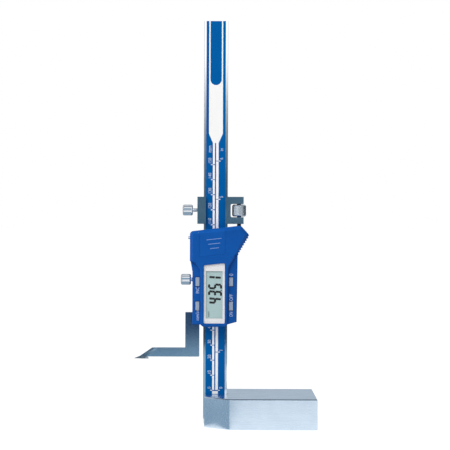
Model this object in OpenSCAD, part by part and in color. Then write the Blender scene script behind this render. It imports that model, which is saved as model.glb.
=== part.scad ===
// Digital height gauge: a foot block, a graduated beam, and a carriage with a scriber and a display.
// X runs to the right as seen from the front, Y to the back and Z up. The origin is on the foot's
// underside, at the middle of the beam. Lengths are in millimetres.

/* [Setting] */
// Height of the scriber's measuring face above the foot's underside
reading = 43.51; // [0:0.01:120]

/* [Foot] */
// Length of the foot block
foot_len = 73.5; // [60:0.5:120]
// How far the foot reaches left of the beam's middle
foot_lead = 7; // [6:0.5:7.5]
// Depth of the foot block, front to back
foot_depth = 45; // [36:0.5:70]
// Height of the foot block
foot_h = 20; // [16:0.5:30]
// Length of the front corner cut along the foot
corner_cut_x = 16.5; // [8:0.5:24]
// Depth of the front corner cut
corner_cut_y = 9.8; // [4:0.2:12]
// Ground edge break all round the foot
foot_edge = 0.6; // [0.2:0.1:1.5]
// Thread diameter of the screws that clamp the beam in the foot
beam_screw_d = 4; // [3:0.5:5]

/* [Beam] */
// Width of the beam
beam_w = 16; // [15:0.1:17]
// Thickness of the beam
beam_t = 3.6; // [3:0.1:4.2]
// Length of the beam
beam_len = 268.3; // [262:0.1:330]
// Small edge break along the beam
beam_edge = 0.3; // [0.1:0.05:0.5]
// Steel margin beside the scale groove
beam_margin = 1.55; // [1.3:0.05:2]
// Thickness of the graduated electrode strip
strip_t = 0.45; // [0.3:0.05:0.6]
// Thickness of the printed foil on the strip
foil_t = 0.15; // [0.1:0.05:0.3]

/* [Carriage frame] */
// Clearance between the beam and the faces that it slides on
slide_clear = 0.05; // [0.03:0.01:0.1]
// Gap between the beam's face and the sensor board
sensor_gap = 0.3; // [0.2:0.05:0.5]
// Thickness of the sensor board
board_t = 1; // [0.8:0.1:1.4]
// Thickness of the steel behind the beam
web_t = 2.15; // [1.6:0.05:3]
// Gap left between foot and carriage when the gauge reads zero
park_gap = 2; // [1:0.1:4]
// Height of the carriage frame
frame_h = 58.5; // [56:0.1:59.6]
// Reach of the frame to the left of the beam's middle
reach_left = 13.4; // [13.2:0.1:14]
// Reach of the frame to the right of the beam's middle
reach_right = 12.7; // [12.5:0.1:13.5]
// Thickness of the brass gib strips
gib_t = 0.9; // [0.7:0.05:1.1]
// Gap between a released gib and the beam's edge
gib_gap = 0.1; // [0.08:0.01:0.14]
// Thread diameter of the gib screws
gib_screw_d = 2; // [1.6:0.1:2.2]
// Length of the gib screws
gib_screw_len = 9.2; // [8.5:0.1:10]

/* [Scriber] */
// Reach of the scriber's tip from the middle of the beam
tip_reach = 54.2; // [48:0.1:75]
// Thickness of the scriber
arm_t = 3.8; // [3:0.1:3.8]
// Width of the upright shank
shank_w = 9.3; // [8:0.1:11]
// Gap between the shank and the beam
shank_gap = 2.6; // [2:0.1:3.2]
// Height of the scriber's arm
arm_h = 5.8; // [4.5:0.1:8]
// Height of the hard tip below the arm
tip_drop = 1.4; // [0.8:0.1:2]
// Length of the hard tip's measuring face
tip_len = 9.9; // [7:0.1:12]

/* [Housing] */
// Step from the raised face down to the key flanks
flank_drop = 2; // [1.5:0.1:2.2]
// Wall of the housing
wall = 1.3; // [1.1:0.05:1.4]
// Width of the rounded edge of the raised face
edge_w = 2; // [1:0.1:2.4]
// Height of the rounded edge of the raised face
edge_h = 2; // [1:0.1:2.2]
// Number of grip grooves on the slanted thumb edge
grip_grooves = 7; // [3:1:8]
// Depth of the grip grooves
groove_cut = 0.7; // [0.3:0.05:0.8]

/* [Display and keys] */
// Width of the window
window_w = 13.7; // [13:0.1:14]
// Thickness of the window
window_t = 0.8; // [0.5:0.05:0.9]
// Thickness of the liquid crystal cell
cell_t = 1.8; // [1.2:0.1:2.2]
// Width of a key
key_w = 2.6; // [2:0.1:3]
// Height of a key
key_h = 5.7; // [4:0.1:6.5]
// How far a key stands out of its flank
key_proud = 0.45; // [0.45:0.05:0.8]
// Travel of a key
key_travel = 0.4; // [0.2:0.05:0.4]

/* [Battery] */
// Diameter of the coin cell
coin_d = 11.6; // [9.5:0.1:11.8]
// Height of the coin cell
coin_h = 5.4; // [4.8:0.1:6]
// Room in front of the coin cell
coin_room = 0.15; // [0.1:0.05:0.6]
// Width of the battery cover
cover_w = 16.8; // [15:0.1:17.4]

/* [Fine adjustment] */
// Height of the clamp block
block_h = 18; // [16:0.1:22]
// Gap between the housing and the clamp block
block_gap = 1.1; // [1.05:0.05:4]
// Diameter of the adjusting rod
rod_d = 3; // [2.5:0.1:3.2]
// Diameter of the knurled nut
nut_d = 9.3; // [8:0.1:10]
// Height of the knurled nut
nut_h = 7.9; // [6:0.1:8.6]
// Height of the notch that holds the knurled nut
notch_h = 8.85; // [8.8:0.05:9.6]
// Diameter of the thumb screws' heads
thumb_d = 7.2; // [6:0.1:8]
// Length of the thumb screws' heads
thumb_h = 6.7; // [5:0.1:7]

/* [Hidden] */
$fn = 48;

// Round holes and pins
fit = 0.05;
far = 100;
small = 0.01;

// Foot
foot_left = -foot_lead;
foot_right = foot_len - foot_lead;
foot_back = foot_depth / 2;
slot_relief_r = 0.7;
beam_screw_head_r = beam_screw_d * 0.875;
beam_screw_seat = foot_back - 8;
beam_screw_grip = 6;
beam_screw_z = [foot_h * 0.28, foot_h * 0.72];

// Beam and scale
beam_x = beam_w / 2;
beam_y = beam_t / 2;
groove_depth = strip_t + foil_t;
groove_x = beam_x - beam_margin;
groove_z = beam_screw_z[1] + beam_screw_d / 2 + 0.6;

// Heights on the carriage are measured up from the housing's lower edge
carriage_z = reading + foot_h + park_gap;
face_z = -(foot_h + park_gap);

// Levels on the carriage, front to back
seat_y = -(beam_y + sensor_gap + board_t);
board_back = seat_y + board_t;
tunnel_y = beam_y + slide_clear;
tunnel_x = beam_x + slide_clear;
frame_back = tunnel_y + web_t;
rim_y = -max(beam_y + 0.2, arm_t / 2 + 0.1);
tray_floor = 0.4;
contact_t = 0.25;
coin_back = seat_y - tray_floor - contact_t;
cover_t = wall - 0.1;
front_y = coin_back - coin_h - coin_room - cover_t;
flank_y = front_y + flank_drop;
front_inner = front_y + wall;
flank_inner = flank_y + wall;

// Carriage frame
rail_left = -reach_left;
rail_right = reach_right;
frame_z0 = wall + 1.5;
frame_slope_x = 8;
frame_slope_z = 1.6;
frame_z1 = frame_z0 + frame_h;
// Where the wide head of the carriage begins, which holds the battery
head_z = frame_z1 - 15.3;
frame_flare_z = [head_z - 9, head_z - 2];
board_z0 = 10.3;
board_z1 = head_z - 2.8;
chip_r = 3.2;
chip_h = 1.1;
chip_x = -0.6;
chip_z = 22;
board_x0 = rail_left + 0.3;
board_x1 = rail_right - 0.2;
gib_back = beam_x + gib_gap + gib_t;
gib_pocket = gib_back + 0.15;
gib_end = 1.2;
shoulder_left = rail_left - 1.6;
ear_x = rail_right + 2.9;
ear_half = 2.8;
ear_depth = 6.3;
ear_z = [head_z + 2.8, head_z + 6.2, head_z + 9.6];
gib_screw_z = [frame_z0 + 1.7, frame_z1 - 2.8];
lock_z = 30.7;
housing_screw_x = [-gib_pocket - 2.05, rail_right - 2.3];
housing_screw_z = [7.8, head_z + 0.8];
housing_screw_r = 1;
housing_screw_head = 1.9;
boss_r = 1.9;
boss_pilot = 4.5;

// Scriber
shank_right = -beam_x - shank_gap;
shank_left = shank_right - shank_w;
shank_top = 8.8;
arm_z = face_z + tip_drop;
tip_bite = 0.4;
tip_top = arm_z + tip_bite;
nose_run = 12.2;
nose_x = -tip_reach + nose_run;
tip_back_x = -tip_reach + 4.3;
tip_seat_x = -tip_reach + tip_len;
tip_slant = 1.3;
tip_heel = tip_slant * tip_drop / (tip_drop + tip_bite);
bevel_w = 2.5;
bevel_t = 1.2;

// Outlines of the housing, as corners [x, z, radius]
top_z = frame_z1 + 5.3;
top_slope = 0.118;
right_x = rail_right + 3.3;
tip_x = rail_right + 9.1;
tip_z = top_z - 6.4;
grip_x = rail_right + wall + 0.7;
grip_z = head_z + 0.9;
left_x = shoulder_left - wall - 0.3;
flank_left = rail_left - wall - 0.4;
spine_left = -9.65;
spine_right = 8;
function top_at(x) = top_z + (x - right_x) * top_slope;
raised_corners = [
    [-8, 0, 0.9], [6.95, 0, 0.9], [spine_right, 1.5, 0.4], [8.85, head_z - 6.8, 4],
    [rail_right + 0.45, grip_z, 0.8], [grip_x, grip_z, 0.6], [tip_x, tip_z, 0.9], [right_x, top_z, 1.2],
    [left_x, top_at(left_x), 2.3], [left_x, head_z - 2.9, 0.6], [rail_left - 0.7, head_z - 3.3, 3.5],
    [-9.9, head_z - 8.6, 4], [spine_left, 1.3, 0.4]
];
flank_corners = [
    [flank_left, 1.3, 0.5], [7.84, 1.35, 0.4], [rail_right + wall + 0.15, 3.1, 0.5], [grip_x, head_z + 2, 0.4],
    [grip_x - 1.7, head_z + 4.2, 0.4], [rail_left - 0.6, head_z + 4, 0.4], [left_x + 0.1, head_z - 2, 0.4],
    [flank_left, head_z - 9.9, 2]
];
thumb_edge = 3;
spine_edge = 0.8;
edge_facets = 3;
flank_edge = 0.6;
corner_steps = 3;
least_r = 0.05;

// Window and display
window_left = -7.4;
window_z0 = 2.1;
window_z1 = head_z - 5.6;
window_r = 0.8;
window_play = 0.05;
window_ledge = 0.6;
view_x0 = -6.2;
view_x1 = 4.8;
view_z0 = 5.5;
view_z1 = window_z1 - 3.8;
cell_front = front_inner + 0.05;
cell_back = cell_front + cell_t;
cell_side = 1.3;
cell_z0 = view_z0 - 2;
cell_z1 = view_z1 + 2.6;
reflector_t = 0.3;
rubber_w = 1.1;
holder_side = 0.25;

// Keys
key_x = [rail_left + 1.65, rail_right - 2.3];
key_z = [13.6, 29.6];
key_play = 0.08;
flange = 0.4;
flange_t = 0.7;
stem_r = 0.8;
switch_h = 1.4;
switch_w = 2.4;
switch_l = 5;
plunger_h = 0.4;
plunger_r = 0.6;
stem_end = seat_y - switch_h - plunger_h - key_travel - fit;

// Battery
coin_x = -2;
coin_z = head_z + 7.4;
tray_play = 0.2;
tray_wall = 1.2;
cover_x0 = coin_x - cover_w / 2;
cover_x1 = coin_x + cover_w / 2;
cover_z0 = head_z;
cover_play = 0.05;
tongue = 0.75;
tongue_t = 0.6;
leaf_w = 2.4;
leaf_foot_z = board_z1 - 2.6;

// Fine adjustment
block_z0 = top_z + block_gap;
block_z1 = block_z0 + block_h;
block_left = -12.1;
block_right = ear_x + 3;
block_lip = 1.5;
notch_x = ear_x - nut_d / 2 - 0.95;
notch_z0 = block_z0 + 4.5;
notch_z1 = notch_z0 + notch_h;
notch_r = 0.9;
nut_z0 = notch_z0 + (notch_h - nut_h) / 2;
clamp_z = block_z0 + block_h * 0.51;
rod_z0 = frame_z1 - ear_depth;
rod_z1 = block_z1 - 0.7;
rod_nut_flats = 5;
rod_nut_h = 1.5;
nut_teeth = 36;
nut_tooth = 0.3;
nut_bevel = 0.8;
thumb_x = [flank_left - 1.2, block_left - 3.1];
thumb_lobes = 6;
thumb_flute_r = 1.05;
thumb_bevel = 0.7;
thumb_shank_r = 1.5;
clamp_shank_r = 1.25;

// Plane geometry for outlines with rounded corners
function unit(v) = v / norm(v);
function left_of(v) = [-v[1], v[0]];
function turned(v, a) = [v[0] * cos(a) - v[1] * sin(a), v[0] * sin(a) + v[1] * cos(a)];
function at(corner) = [corner[0], corner[1]];
// Arc round corner p between neighbours a and b, with both sides moved inward by the inset
function corner_arc(a, p, b, r, inset) =
    let (u = unit(p - a), v = unit(b - p), bend = cross(u, v), side = sign(bend),
         turn = atan2(abs(bend), u * v), from = p + left_of(u) * inset, to = p + left_of(v) * inset,
         meet = from + u * cross(to - from, v) / bend, arc_r = max(r - side * inset, least_r),
         start = meet - u * arc_r * tan(turn / 2), hub = start + side * arc_r * left_of(u))
    [for (k = [0:corner_steps])
        hub + turned(-side * arc_r * left_of(u), side * turn * k / corner_steps)];
// Whole outline moved inward
function outline(corners, inset) =
    let (n = len(corners))
    [for (i = [0:n - 1])
        each corner_arc(at(corners[(i + n - 1) % n]), at(corners[i]), at(corners[(i + 1) % n]),
            corners[i][2], inset)];

// Extrudes an X-Z drawing from the front level y0 to the back level y1
module slab(y0, y1) {
    translate([0, y1, 0]) rotate([90, 0, 0]) linear_extrude(y1 - y0) children();
}
module block(x0, x1, y0, y1, z0, z1) {
    translate([x0, y0, z0]) cube([x1 - x0, y1 - y0, z1 - z0]);
}
module along_x(r, x0, x1, z) {
    translate([x0, 0, z]) rotate([0, 90, 0]) cylinder(r = r, h = x1 - x0);
}
module along_y(r, y0, y1, x, z) {
    translate([x, y1, z]) rotate([90, 0, 0]) cylinder(r = r, h = y1 - y0);
}
module on_carriage() {
    translate([0, 0, carriage_z]) children();
}
// Whether an outline turns left at a corner, which makes the corner stand out
function stands_out(corners, i) =
    let (n = len(corners), p = at(corners[i % n]))
    cross(p - at(corners[(i + n - 1) % n]), at(corners[(i + 1) % n]) - p) > 0;
// Cutter that rounds the front edge at y = top along the side that starts at corner i
module edge_cutter(corners, i, top, width, height, facets) {
    n = len(corners);
    p = at(corners[i]);
    q = at(corners[(i + 1) % n]);
    before = stands_out(corners, i) ? width : 0;
    after = stands_out(corners, i + 1) ? width : 0;
    translate([p[0], top, p[1]]) rotate([0, -atan2(q[1] - p[1], q[0] - p[0]), 0])
        translate([-before, 0, 0]) rotate([90, 0, 90]) linear_extrude(norm(q - p) + before + after)
        polygon(concat([[-1, -1], [-1, width]],
            [for (a = [90:-90 / facets:0]) [height * (1 - sin(a)), width * (1 - cos(a))]],
            [[height, -1]]));
}

// Foot
foot_plan = [
    [foot_left, -foot_back + corner_cut_y], [foot_left + corner_cut_x, -foot_back],
    [foot_right, -foot_back], [foot_right, foot_back], [foot_left, foot_back]
];
module edge_break(length) {
    rotate([45, 0, 0]) translate([-1, -foot_edge * sqrt(0.5), -foot_edge * sqrt(0.5)])
        cube([length + 2, foot_edge * sqrt(2), foot_edge * sqrt(2)]);
}
module foot_block() {
    color([0.80, 0.85, 0.90])
    difference() {
        linear_extrude(foot_h) polygon(foot_plan);
        for (i = [0:len(foot_plan) - 1]) {
            p = foot_plan[i];
            q = foot_plan[(i + 1) % len(foot_plan)];
            translate(p) rotate(atan2(q[1] - p[1], q[0] - p[0])) {
                edge_break(norm(q - p));
                translate([0, 0, foot_h]) edge_break(norm(q - p));
            }
        }
        block(foot_left - 1, tunnel_x, -tunnel_y, tunnel_y, -1, foot_h + 1);
        for (y = [-tunnel_y, tunnel_y])
            translate([tunnel_x, y, -1]) cylinder(r = slot_relief_r, h = foot_h + 2);
        for (z = beam_screw_z) {
            along_y(beam_screw_head_r + 0.3, beam_screw_seat, foot_back + 1, 0, z);
            along_y(beam_screw_d / 2 + fit, -beam_screw_grip - 1, beam_screw_seat + 1, 0, z);
        }
    }
}
module beam_screws() {
    color([0.25, 0.26, 0.28])
    for (z = beam_screw_z) difference() {
        union() {
            along_y(beam_screw_d / 2, -beam_screw_grip, beam_screw_seat + 1, 0, z);
            along_y(beam_screw_head_r, beam_screw_seat, beam_screw_seat + beam_screw_d, 0, z);
        }
        translate([0, beam_screw_seat + beam_screw_d + 1, z]) rotate([90, 0, 0])
            cylinder(d = beam_screw_d * 0.87, h = beam_screw_d * 0.5 + 1, $fn = 6);
    }
}

// Beam
module beam() {
    x = beam_x;
    y = beam_y;
    e = beam_edge;
    color([0.78, 0.79, 0.80])
    difference() {
        linear_extrude(beam_len) polygon([
            [-x + e, -y], [x - e, -y], [x, -y + e], [x, y - e],
            [x - e, y], [-x + e, y], [-x, y - e], [-x, -y + e]]);
        block(-groove_x, groove_x, -beam_y - 1, -beam_y + groove_depth, groove_z, beam_len + 1);
        for (z = beam_screw_z)
            along_y(beam_screw_d / 2 + fit, -beam_y - 1, beam_y + 1, 0, z);
    }
}
module scale_layer(y0, y1) {
    block(-groove_x + fit, groove_x - fit, y0, y1, groove_z + fit, beam_len - 0.2);
}
module scale_strip() {
    color([0.75, 0.62, 0.30]) scale_layer(-beam_y + foil_t, -beam_y + groove_depth);
}
module scale_foil() {
    color([0.00, 0.33, 0.61]) scale_layer(-beam_y, -beam_y + foil_t);
}

// Channel for the beam, with a pocket for the gib beside it and an open front between two lips
module beam_channel(z0, z1) {
    block(-tunnel_x, tunnel_x, -tunnel_y, tunnel_y, z0 - 1, z1 + 1);
    block(-gib_pocket, 0, -tunnel_y, tunnel_y, z0 + gib_end, z1 - gib_end);
    block(-groove_x, groove_x, -far, 0, z0 - 1, z1 + 1);
}
module gib(z0, z1) {
    color([0.72, 0.55, 0.25])
    block(-gib_back, -gib_back + gib_t, -beam_y, beam_y, z0 + gib_end + 0.2, z1 - gib_end - 0.2);
}
module slide_gib() {
    on_carriage() gib(frame_z0, frame_z1);
}
module clamp_gib() {
    on_carriage() gib(block_z0, block_z1);
}

// Carriage frame with the scriber in one piece
module frame_outline() {
    polygon([
        [rail_left, frame_z0], [frame_slope_x, frame_z0], [rail_right, frame_z0 + frame_slope_z],
        [rail_right, frame_z1],
        [shoulder_left, frame_z1], [shoulder_left, frame_flare_z[1]], [rail_left, frame_flare_z[0]]]);
}
module ear_outline() {
    polygon([
        [rail_right - 1, ear_z[0]], [ear_x + 0.7, ear_z[1]], [ear_x + ear_half, ear_z[2]],
        [ear_x + ear_half, frame_z1], [rail_right - 1, frame_z1]]);
}
module scriber_outline() {
    polygon([
        [shank_right, arm_z], [shank_right, shank_top], [shank_left, shank_top],
        [shank_left, arm_z + arm_h], [nose_x, arm_z + arm_h], [tip_back_x, tip_top],
        [tip_seat_x - tip_slant, tip_top], [tip_seat_x - tip_heel, arm_z]]);
}
// Wedges that thin the slanted nose towards its edge, on the front and on the back
module nose_bevels() {
    run = [tip_back_x - nose_x, tip_top - arm_z - arm_h];
    slant = atan2(run[1], run[0]);
    for (flip = [0, 1]) mirror([0, flip, 0])
        translate([nose_x, -arm_t / 2 + bevel_t, arm_z + arm_h]) rotate([0, -slant, 0])
            rotate([atan2(bevel_t, bevel_w), 0, 0]) translate([-2 * bevel_w, -far, -far / 2])
            cube([far, far, far]);
}
module slide_frame() {
    color([0.40, 0.50, 0.57])
    on_carriage() difference() {
        union() {
            slab(seat_y, frame_back) frame_outline();
            slab(rim_y, frame_back) ear_outline();
            difference() {
                slab(-arm_t / 2, arm_t / 2) scriber_outline();
                nose_bevels();
            }
        }
        beam_channel(frame_z0, frame_z1);
        // The board lies across both rails, so the lips end above and below it
        block(-far, far, -far, board_back, board_z0, board_z1);
        block(-gib_pocket, tunnel_x, -far, 0, board_z0, board_z1);
        for (z = gib_screw_z) along_x(gib_screw_d / 2 + fit, -far, -beam_x, z);
        along_x(thumb_shank_r + fit, -far, -beam_x, lock_z);
        for (x = housing_screw_x) for (z = housing_screw_z) {
            along_y(housing_screw_r + fit, -far, far, x, z);
            countersink(x, z, fit);
        }
        translate([ear_x, 0, rod_z0]) cylinder(d = rod_d + 2 * fit, h = far);
    }
}
module countersink(x, z, play) {
    r = housing_screw_head + play;
    translate([x, frame_back + small, z]) rotate([90, 0, 0])
        cylinder(r1 = r, r2 = housing_screw_r + play, h = r - housing_screw_r - play);
}
module scriber_tip() {
    color([0.50, 0.55, 0.60])
    on_carriage() difference() {
        slab(-arm_t / 2, arm_t / 2) polygon([
            [-tip_reach, face_z], [tip_seat_x, face_z], [tip_seat_x - tip_slant, tip_top],
            [tip_back_x, tip_top]]);
        nose_bevels();
    }
}
module gib_screws() {
    color([0.60, 0.62, 0.64])
    on_carriage() for (z = gib_screw_z) difference() {
        along_x(gib_screw_d / 2, -gib_back - gib_screw_len, -gib_back - small, z);
        block(-far, -gib_back - gib_screw_len + 0.6, -0.2, 0.2, z - far, z + far);
    }
}
module thumb_screw(z, shoulder, shank_r) {
    color([0.75, 0.77, 0.79])
    on_carriage() {
        along_x(shank_r, shoulder - 1, -gib_back - small, z);
        translate([shoulder, 0, z]) rotate([0, -90, 0]) difference() {
            intersection() {
                cylinder(d = thumb_d, h = thumb_h);
                translate([0, 0, -far / 2 + thumb_h]) cylinder(
                    r1 = thumb_d / 2 - thumb_bevel + far / 2, r2 = thumb_d / 2 - thumb_bevel, h = far / 2);
                cylinder(r1 = thumb_d / 2 - thumb_bevel, r2 = thumb_d / 2 - thumb_bevel + far, h = far);
            }
            for (i = [0:thumb_lobes - 1]) rotate(360 * (i + 0.5) / thumb_lobes)
                translate([thumb_d / 2 + 0.2, 0, -1]) cylinder(r = thumb_flute_r, h = thumb_h + 2);
        }
    }
}
module lock_screw() {
    thumb_screw(lock_z, thumb_x[0], thumb_shank_r);
}
module clamp_screw() {
    thumb_screw(clamp_z, thumb_x[1], clamp_shank_r);
}

// Electronics
module sensor_board() {
    color([0.10, 0.38, 0.22])
    on_carriage() block(board_x0, board_x1, seat_y, board_back, board_z0 + 0.1, board_z1 - 0.1);
}
module controller_chip() {
    color([0.08, 0.08, 0.09])
    on_carriage() along_y(chip_r, seat_y - chip_h, seat_y, chip_x, chip_z);
}
module key_switches() {
    color([0.85, 0.85, 0.80])
    on_carriage() for (x = key_x) for (z = key_z) {
        block(x - switch_w / 2, x + switch_w / 2, seat_y - switch_h, seat_y,
            z - switch_l / 2, z + switch_l / 2);
        along_y(plunger_r, seat_y - switch_h - plunger_h, seat_y - switch_h + small, x, z);
    }
}
module display_cell() {
    color([0.66, 0.76, 0.74])
    on_carriage() block(view_x0 - cell_side, view_x1 + cell_side, cell_front, cell_back, cell_z0, cell_z1);
}
module display_reflector() {
    color([0.85, 0.88, 0.86])
    on_carriage() block(view_x0, view_x1, cell_back, cell_back + reflector_t, view_z0, view_z1);
}
module contact_rubbers() {
    color([0.20, 0.20, 0.22])
    on_carriage() for (x = [view_x0 - cell_side + 0.05, view_x1 + cell_side - 0.05 - rubber_w])
        block(x, x + rubber_w, cell_back, seat_y, board_z0 + 0.6, view_z1);
}
module display_holder() {
    side = cell_side + holder_side;
    color([0.92, 0.92, 0.90])
    on_carriage() difference() {
        block(view_x0 - side, view_x1 + side, cell_back, seat_y, cell_z0, cell_z1);
        block(view_x0 - fit, view_x1 + fit, cell_back - 1, cell_back + reflector_t + fit,
            view_z0 - fit, view_z1 + fit);
        block(view_x0 + 0.7, view_x1 - 0.7, cell_back - 1, 0, view_z0 + 1, view_z1 - 1);
        for (x = [view_x0 - cell_side + 0.05, view_x1 + cell_side - 0.05 - rubber_w])
            block(x - 0.02, x + rubber_w + 0.02, cell_back - 1, 0, board_z0 + 0.58, view_z1 + 0.02);
    }
}

// Housing
window_corners = [
    [window_left, window_z0, window_r], [window_left + window_w, window_z0, window_r],
    [window_left + window_w, window_z1 + window_w * top_slope, window_r],
    [window_left, window_z1, window_r]
];
module window_shape(inset) {
    polygon(outline(window_corners, inset));
}
module window() {
    color([0.93, 0.93, 0.92])
    on_carriage() slab(front_y + window_play, front_y + window_t) window_shape(window_play);
}
module raised_form() {
    difference() {
        slab(front_y, rim_y) polygon(outline(raised_corners, 0));
        for (i = [5, 6]) edge_cutter(raised_corners, i, front_y, thumb_edge, edge_h, edge_facets);
        for (i = [7, 8]) edge_cutter(raised_corners, i, front_y, edge_w, edge_h, edge_facets);
        for (i = [0, 1, 2, 3, 10, 11, 12])
            edge_cutter(raised_corners, i, front_y, spine_edge, spine_edge, 1);
    }
}
module flank_form() {
    difference() {
        slab(flank_y, rim_y) polygon(outline(flank_corners, 0));
        for (i = [0, 1, 2, 6, 7]) edge_cutter(flank_corners, i, flank_y, flank_edge, flank_edge, 1);
    }
}
// Plan of the battery cover, wider by the given amount and open upward
module cover_plan(wider, lower) {
    x0 = cover_x0 - wider;
    x1 = cover_x1 + wider;
    polygon([
        [x0, cover_z0 - lower], [x1, cover_z0 - lower + (x1 - x0) * top_slope], [x1, far], [x0, far]]);
}
module grip_cuts() {
    run = [tip_x - grip_x, tip_z - grip_z];
    length = norm(run);
    pitch = (length - 1.6) / grip_grooves;
    translate([grip_x, 0, grip_z]) rotate([0, -atan2(run[1], run[0]), 0])
        for (i = [0:grip_grooves - 1]) translate([1.2 + pitch * (i + 0.5), 0, 0])
            slab(front_y - 1, rim_y + 1) polygon([
                [-pitch * 0.3, -0.2], [pitch * 0.3, -0.2],
                [pitch * 0.18, groove_cut], [-pitch * 0.18, groove_cut]]);
}
module housing() {
    color([0.10, 0.27, 0.62])
    on_carriage() difference() {
        union() {
            difference() {
                union() {
                    raised_form();
                    flank_form();
                }
                slab(front_inner, 0) polygon(outline(raised_corners, wall));
                slab(flank_inner, 0) polygon(outline(flank_corners, wall));
            }
            for (x = housing_screw_x) {
                along_y(boss_r, flank_inner - small, seat_y, x, housing_screw_z[0]);
                along_y(boss_r, front_inner - small, seat_y, x, housing_screw_z[1]);
            }
        }
        slab(front_y - 1, front_y + window_t + window_play) window_shape(0);
        slab(front_y - 1, 0) window_shape(window_ledge);
        for (x = key_x) for (z = key_z)
            block(x - key_w / 2 - key_play, x + key_w / 2 + key_play, -far, flank_inner + small,
                z - key_h / 2 - key_play, z + key_h / 2 + key_play);
        for (x = housing_screw_x) for (z = housing_screw_z)
            along_y(housing_screw_r - 0.15, seat_y - boss_pilot, 0, x, z);
        slab(-far, front_inner + small) cover_plan(cover_play, cover_play);
        slab(front_y + cover_t - tongue_t - cover_play, front_inner + small)
            cover_plan(tongue + cover_play, cover_play);
        grip_cuts();
    }
}
module battery_cover() {
    color([0.12, 0.30, 0.66])
    on_carriage() intersection() {
        raised_form();
        union() {
            slab(-far, front_y + cover_t) cover_plan(0, 0);
            slab(front_y + cover_t - tongue_t, front_y + cover_t) cover_plan(tongue, 0);
        }
    }
}
module housing_screws() {
    color([0.30, 0.31, 0.33])
    on_carriage() for (x = housing_screw_x) for (z = housing_screw_z) difference() {
        union() {
            along_y(housing_screw_r - 0.2, seat_y - boss_pilot + 0.5, seat_y + 1, x, z);
            along_y(housing_screw_r, seat_y, frame_back - 0.5, x, z);
            countersink(x, z, 0);
        }
        for (a = [0, 90]) translate([x, frame_back, z]) rotate([0, a, 0])
            cube([2, 1.2, 0.4], center = true);
    }
}
module key(x, z) {
    color([0.68, 0.70, 0.72])
    on_carriage() translate([x, 0, z]) {
        block(-key_w / 2, key_w / 2, flank_y - key_proud, flank_inner + fit + small, -key_h / 2, key_h / 2);
        block(-key_w / 2 - flange, key_w / 2 + flange, flank_inner + fit, flank_inner + fit + flange_t,
            -key_h / 2 - flange, key_h / 2 + flange);
        along_y(stem_r, flank_inner + fit + flange_t - small, stem_end, 0, 0);
    }
}
module key_inc() {
    key(key_x[0], key_z[1]);
}
module key_units() {
    key(key_x[0], key_z[0]);
}
module key_zero() {
    key(key_x[1], key_z[1]);
}
module key_power() {
    key(key_x[1], key_z[0]);
}

// Battery compartment
module battery_tray() {
    r = coin_d / 2 + tray_play;
    color([0.15, 0.16, 0.18])
    on_carriage() difference() {
        block(coin_x - r - tray_wall, coin_x + r + tray_wall, front_inner + 0.3, seat_y,
            coin_z - r - tray_wall, coin_z + r + tray_wall);
        along_y(r, -far, seat_y - tray_floor, coin_x, coin_z);
        block(coin_x - leaf_w / 2 - 0.1, coin_x + leaf_w / 2 + 0.1, seat_y - tray_floor - contact_t - 0.1,
            0, coin_z - far, coin_z - r + 1);
        block(coin_x + coin_d / 2 - 1, coin_x + coin_d / 2 + contact_t + 0.4, -far, seat_y - tray_floor,
            coin_z - far, coin_z + 3.6);
        for (x = housing_screw_x) along_y(boss_r + fit, -far, 0, x, housing_screw_z[1]);
    }
}
module coin_cell() {
    color([0.80, 0.81, 0.82])
    on_carriage() {
        along_y(coin_d / 2 - 1.2, coin_back - 1, coin_back, coin_x, coin_z);
        along_y(coin_d / 2, coin_back - coin_h, coin_back - 0.5, coin_x, coin_z);
    }
}
module contact_minus() {
    y = seat_y - tray_floor;
    bend_z = coin_z - coin_d / 2 - tray_play - tray_wall;
    color([0.85, 0.75, 0.45])
    on_carriage() translate([coin_x - leaf_w / 2, 0, 0]) rotate([90, 0, 90]) linear_extrude(leaf_w) polygon([
        [seat_y, leaf_foot_z], [seat_y, board_z1], [y, bend_z], [y, coin_z + 2],
        [y - contact_t, coin_z + 2], [y - contact_t, bend_z], [seat_y - contact_t, board_z1],
        [seat_y - contact_t, leaf_foot_z]]);
}
module contact_plus() {
    x = coin_x + coin_d / 2 + fit;
    color([0.85, 0.75, 0.45])
    on_carriage() {
        block(x, x + contact_t, seat_y - 3.5, seat_y - tray_floor - fit, leaf_foot_z, coin_z + 3.2);
        block(x, x + contact_t, seat_y - 3.5, seat_y, leaf_foot_z, board_z1 - 0.1);
        block(x, x + 1.6, seat_y - contact_t, seat_y, leaf_foot_z, board_z1 - 0.1);
    }
}

// Fine adjustment
module adjusting_rod() {
    color([0.22, 0.23, 0.25])
    on_carriage() translate([ear_x, 0, rod_z0 + fit]) cylinder(d = rod_d, h = rod_z1 - rod_z0 - fit);
}
module rod_nut() {
    color([0.30, 0.31, 0.33])
    on_carriage() translate([ear_x, 0, frame_z1]) difference() {
        cylinder(d = rod_nut_flats / cos(30), h = rod_nut_h, $fn = 6);
        translate([0, 0, -1]) cylinder(d = rod_d + 2 * fit, h = rod_nut_h + 2);
    }
}
module clamp_block() {
    color([0.38, 0.46, 0.52])
    on_carriage() difference() {
        block(block_left, block_right, -tunnel_y - block_lip, frame_back, block_z0, block_z1);
        beam_channel(block_z0, block_z1);
        slab(-far, far) notch_outline();
        along_x(clamp_shank_r + fit, -far, -beam_x, clamp_z);
        translate([ear_x, 0, block_z0 - 1]) cylinder(d = rod_d + 2 * fit, h = block_h + 2);
    }
}
module notch_outline() {
    translate([notch_x + notch_r, notch_z0]) square([far, notch_h]);
    translate([notch_x, notch_z0 + notch_r]) square([far, notch_h - 2 * notch_r]);
    for (z = [notch_z0 + notch_r, notch_z1 - notch_r]) translate([notch_x + notch_r, z]) circle(notch_r);
}
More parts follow.
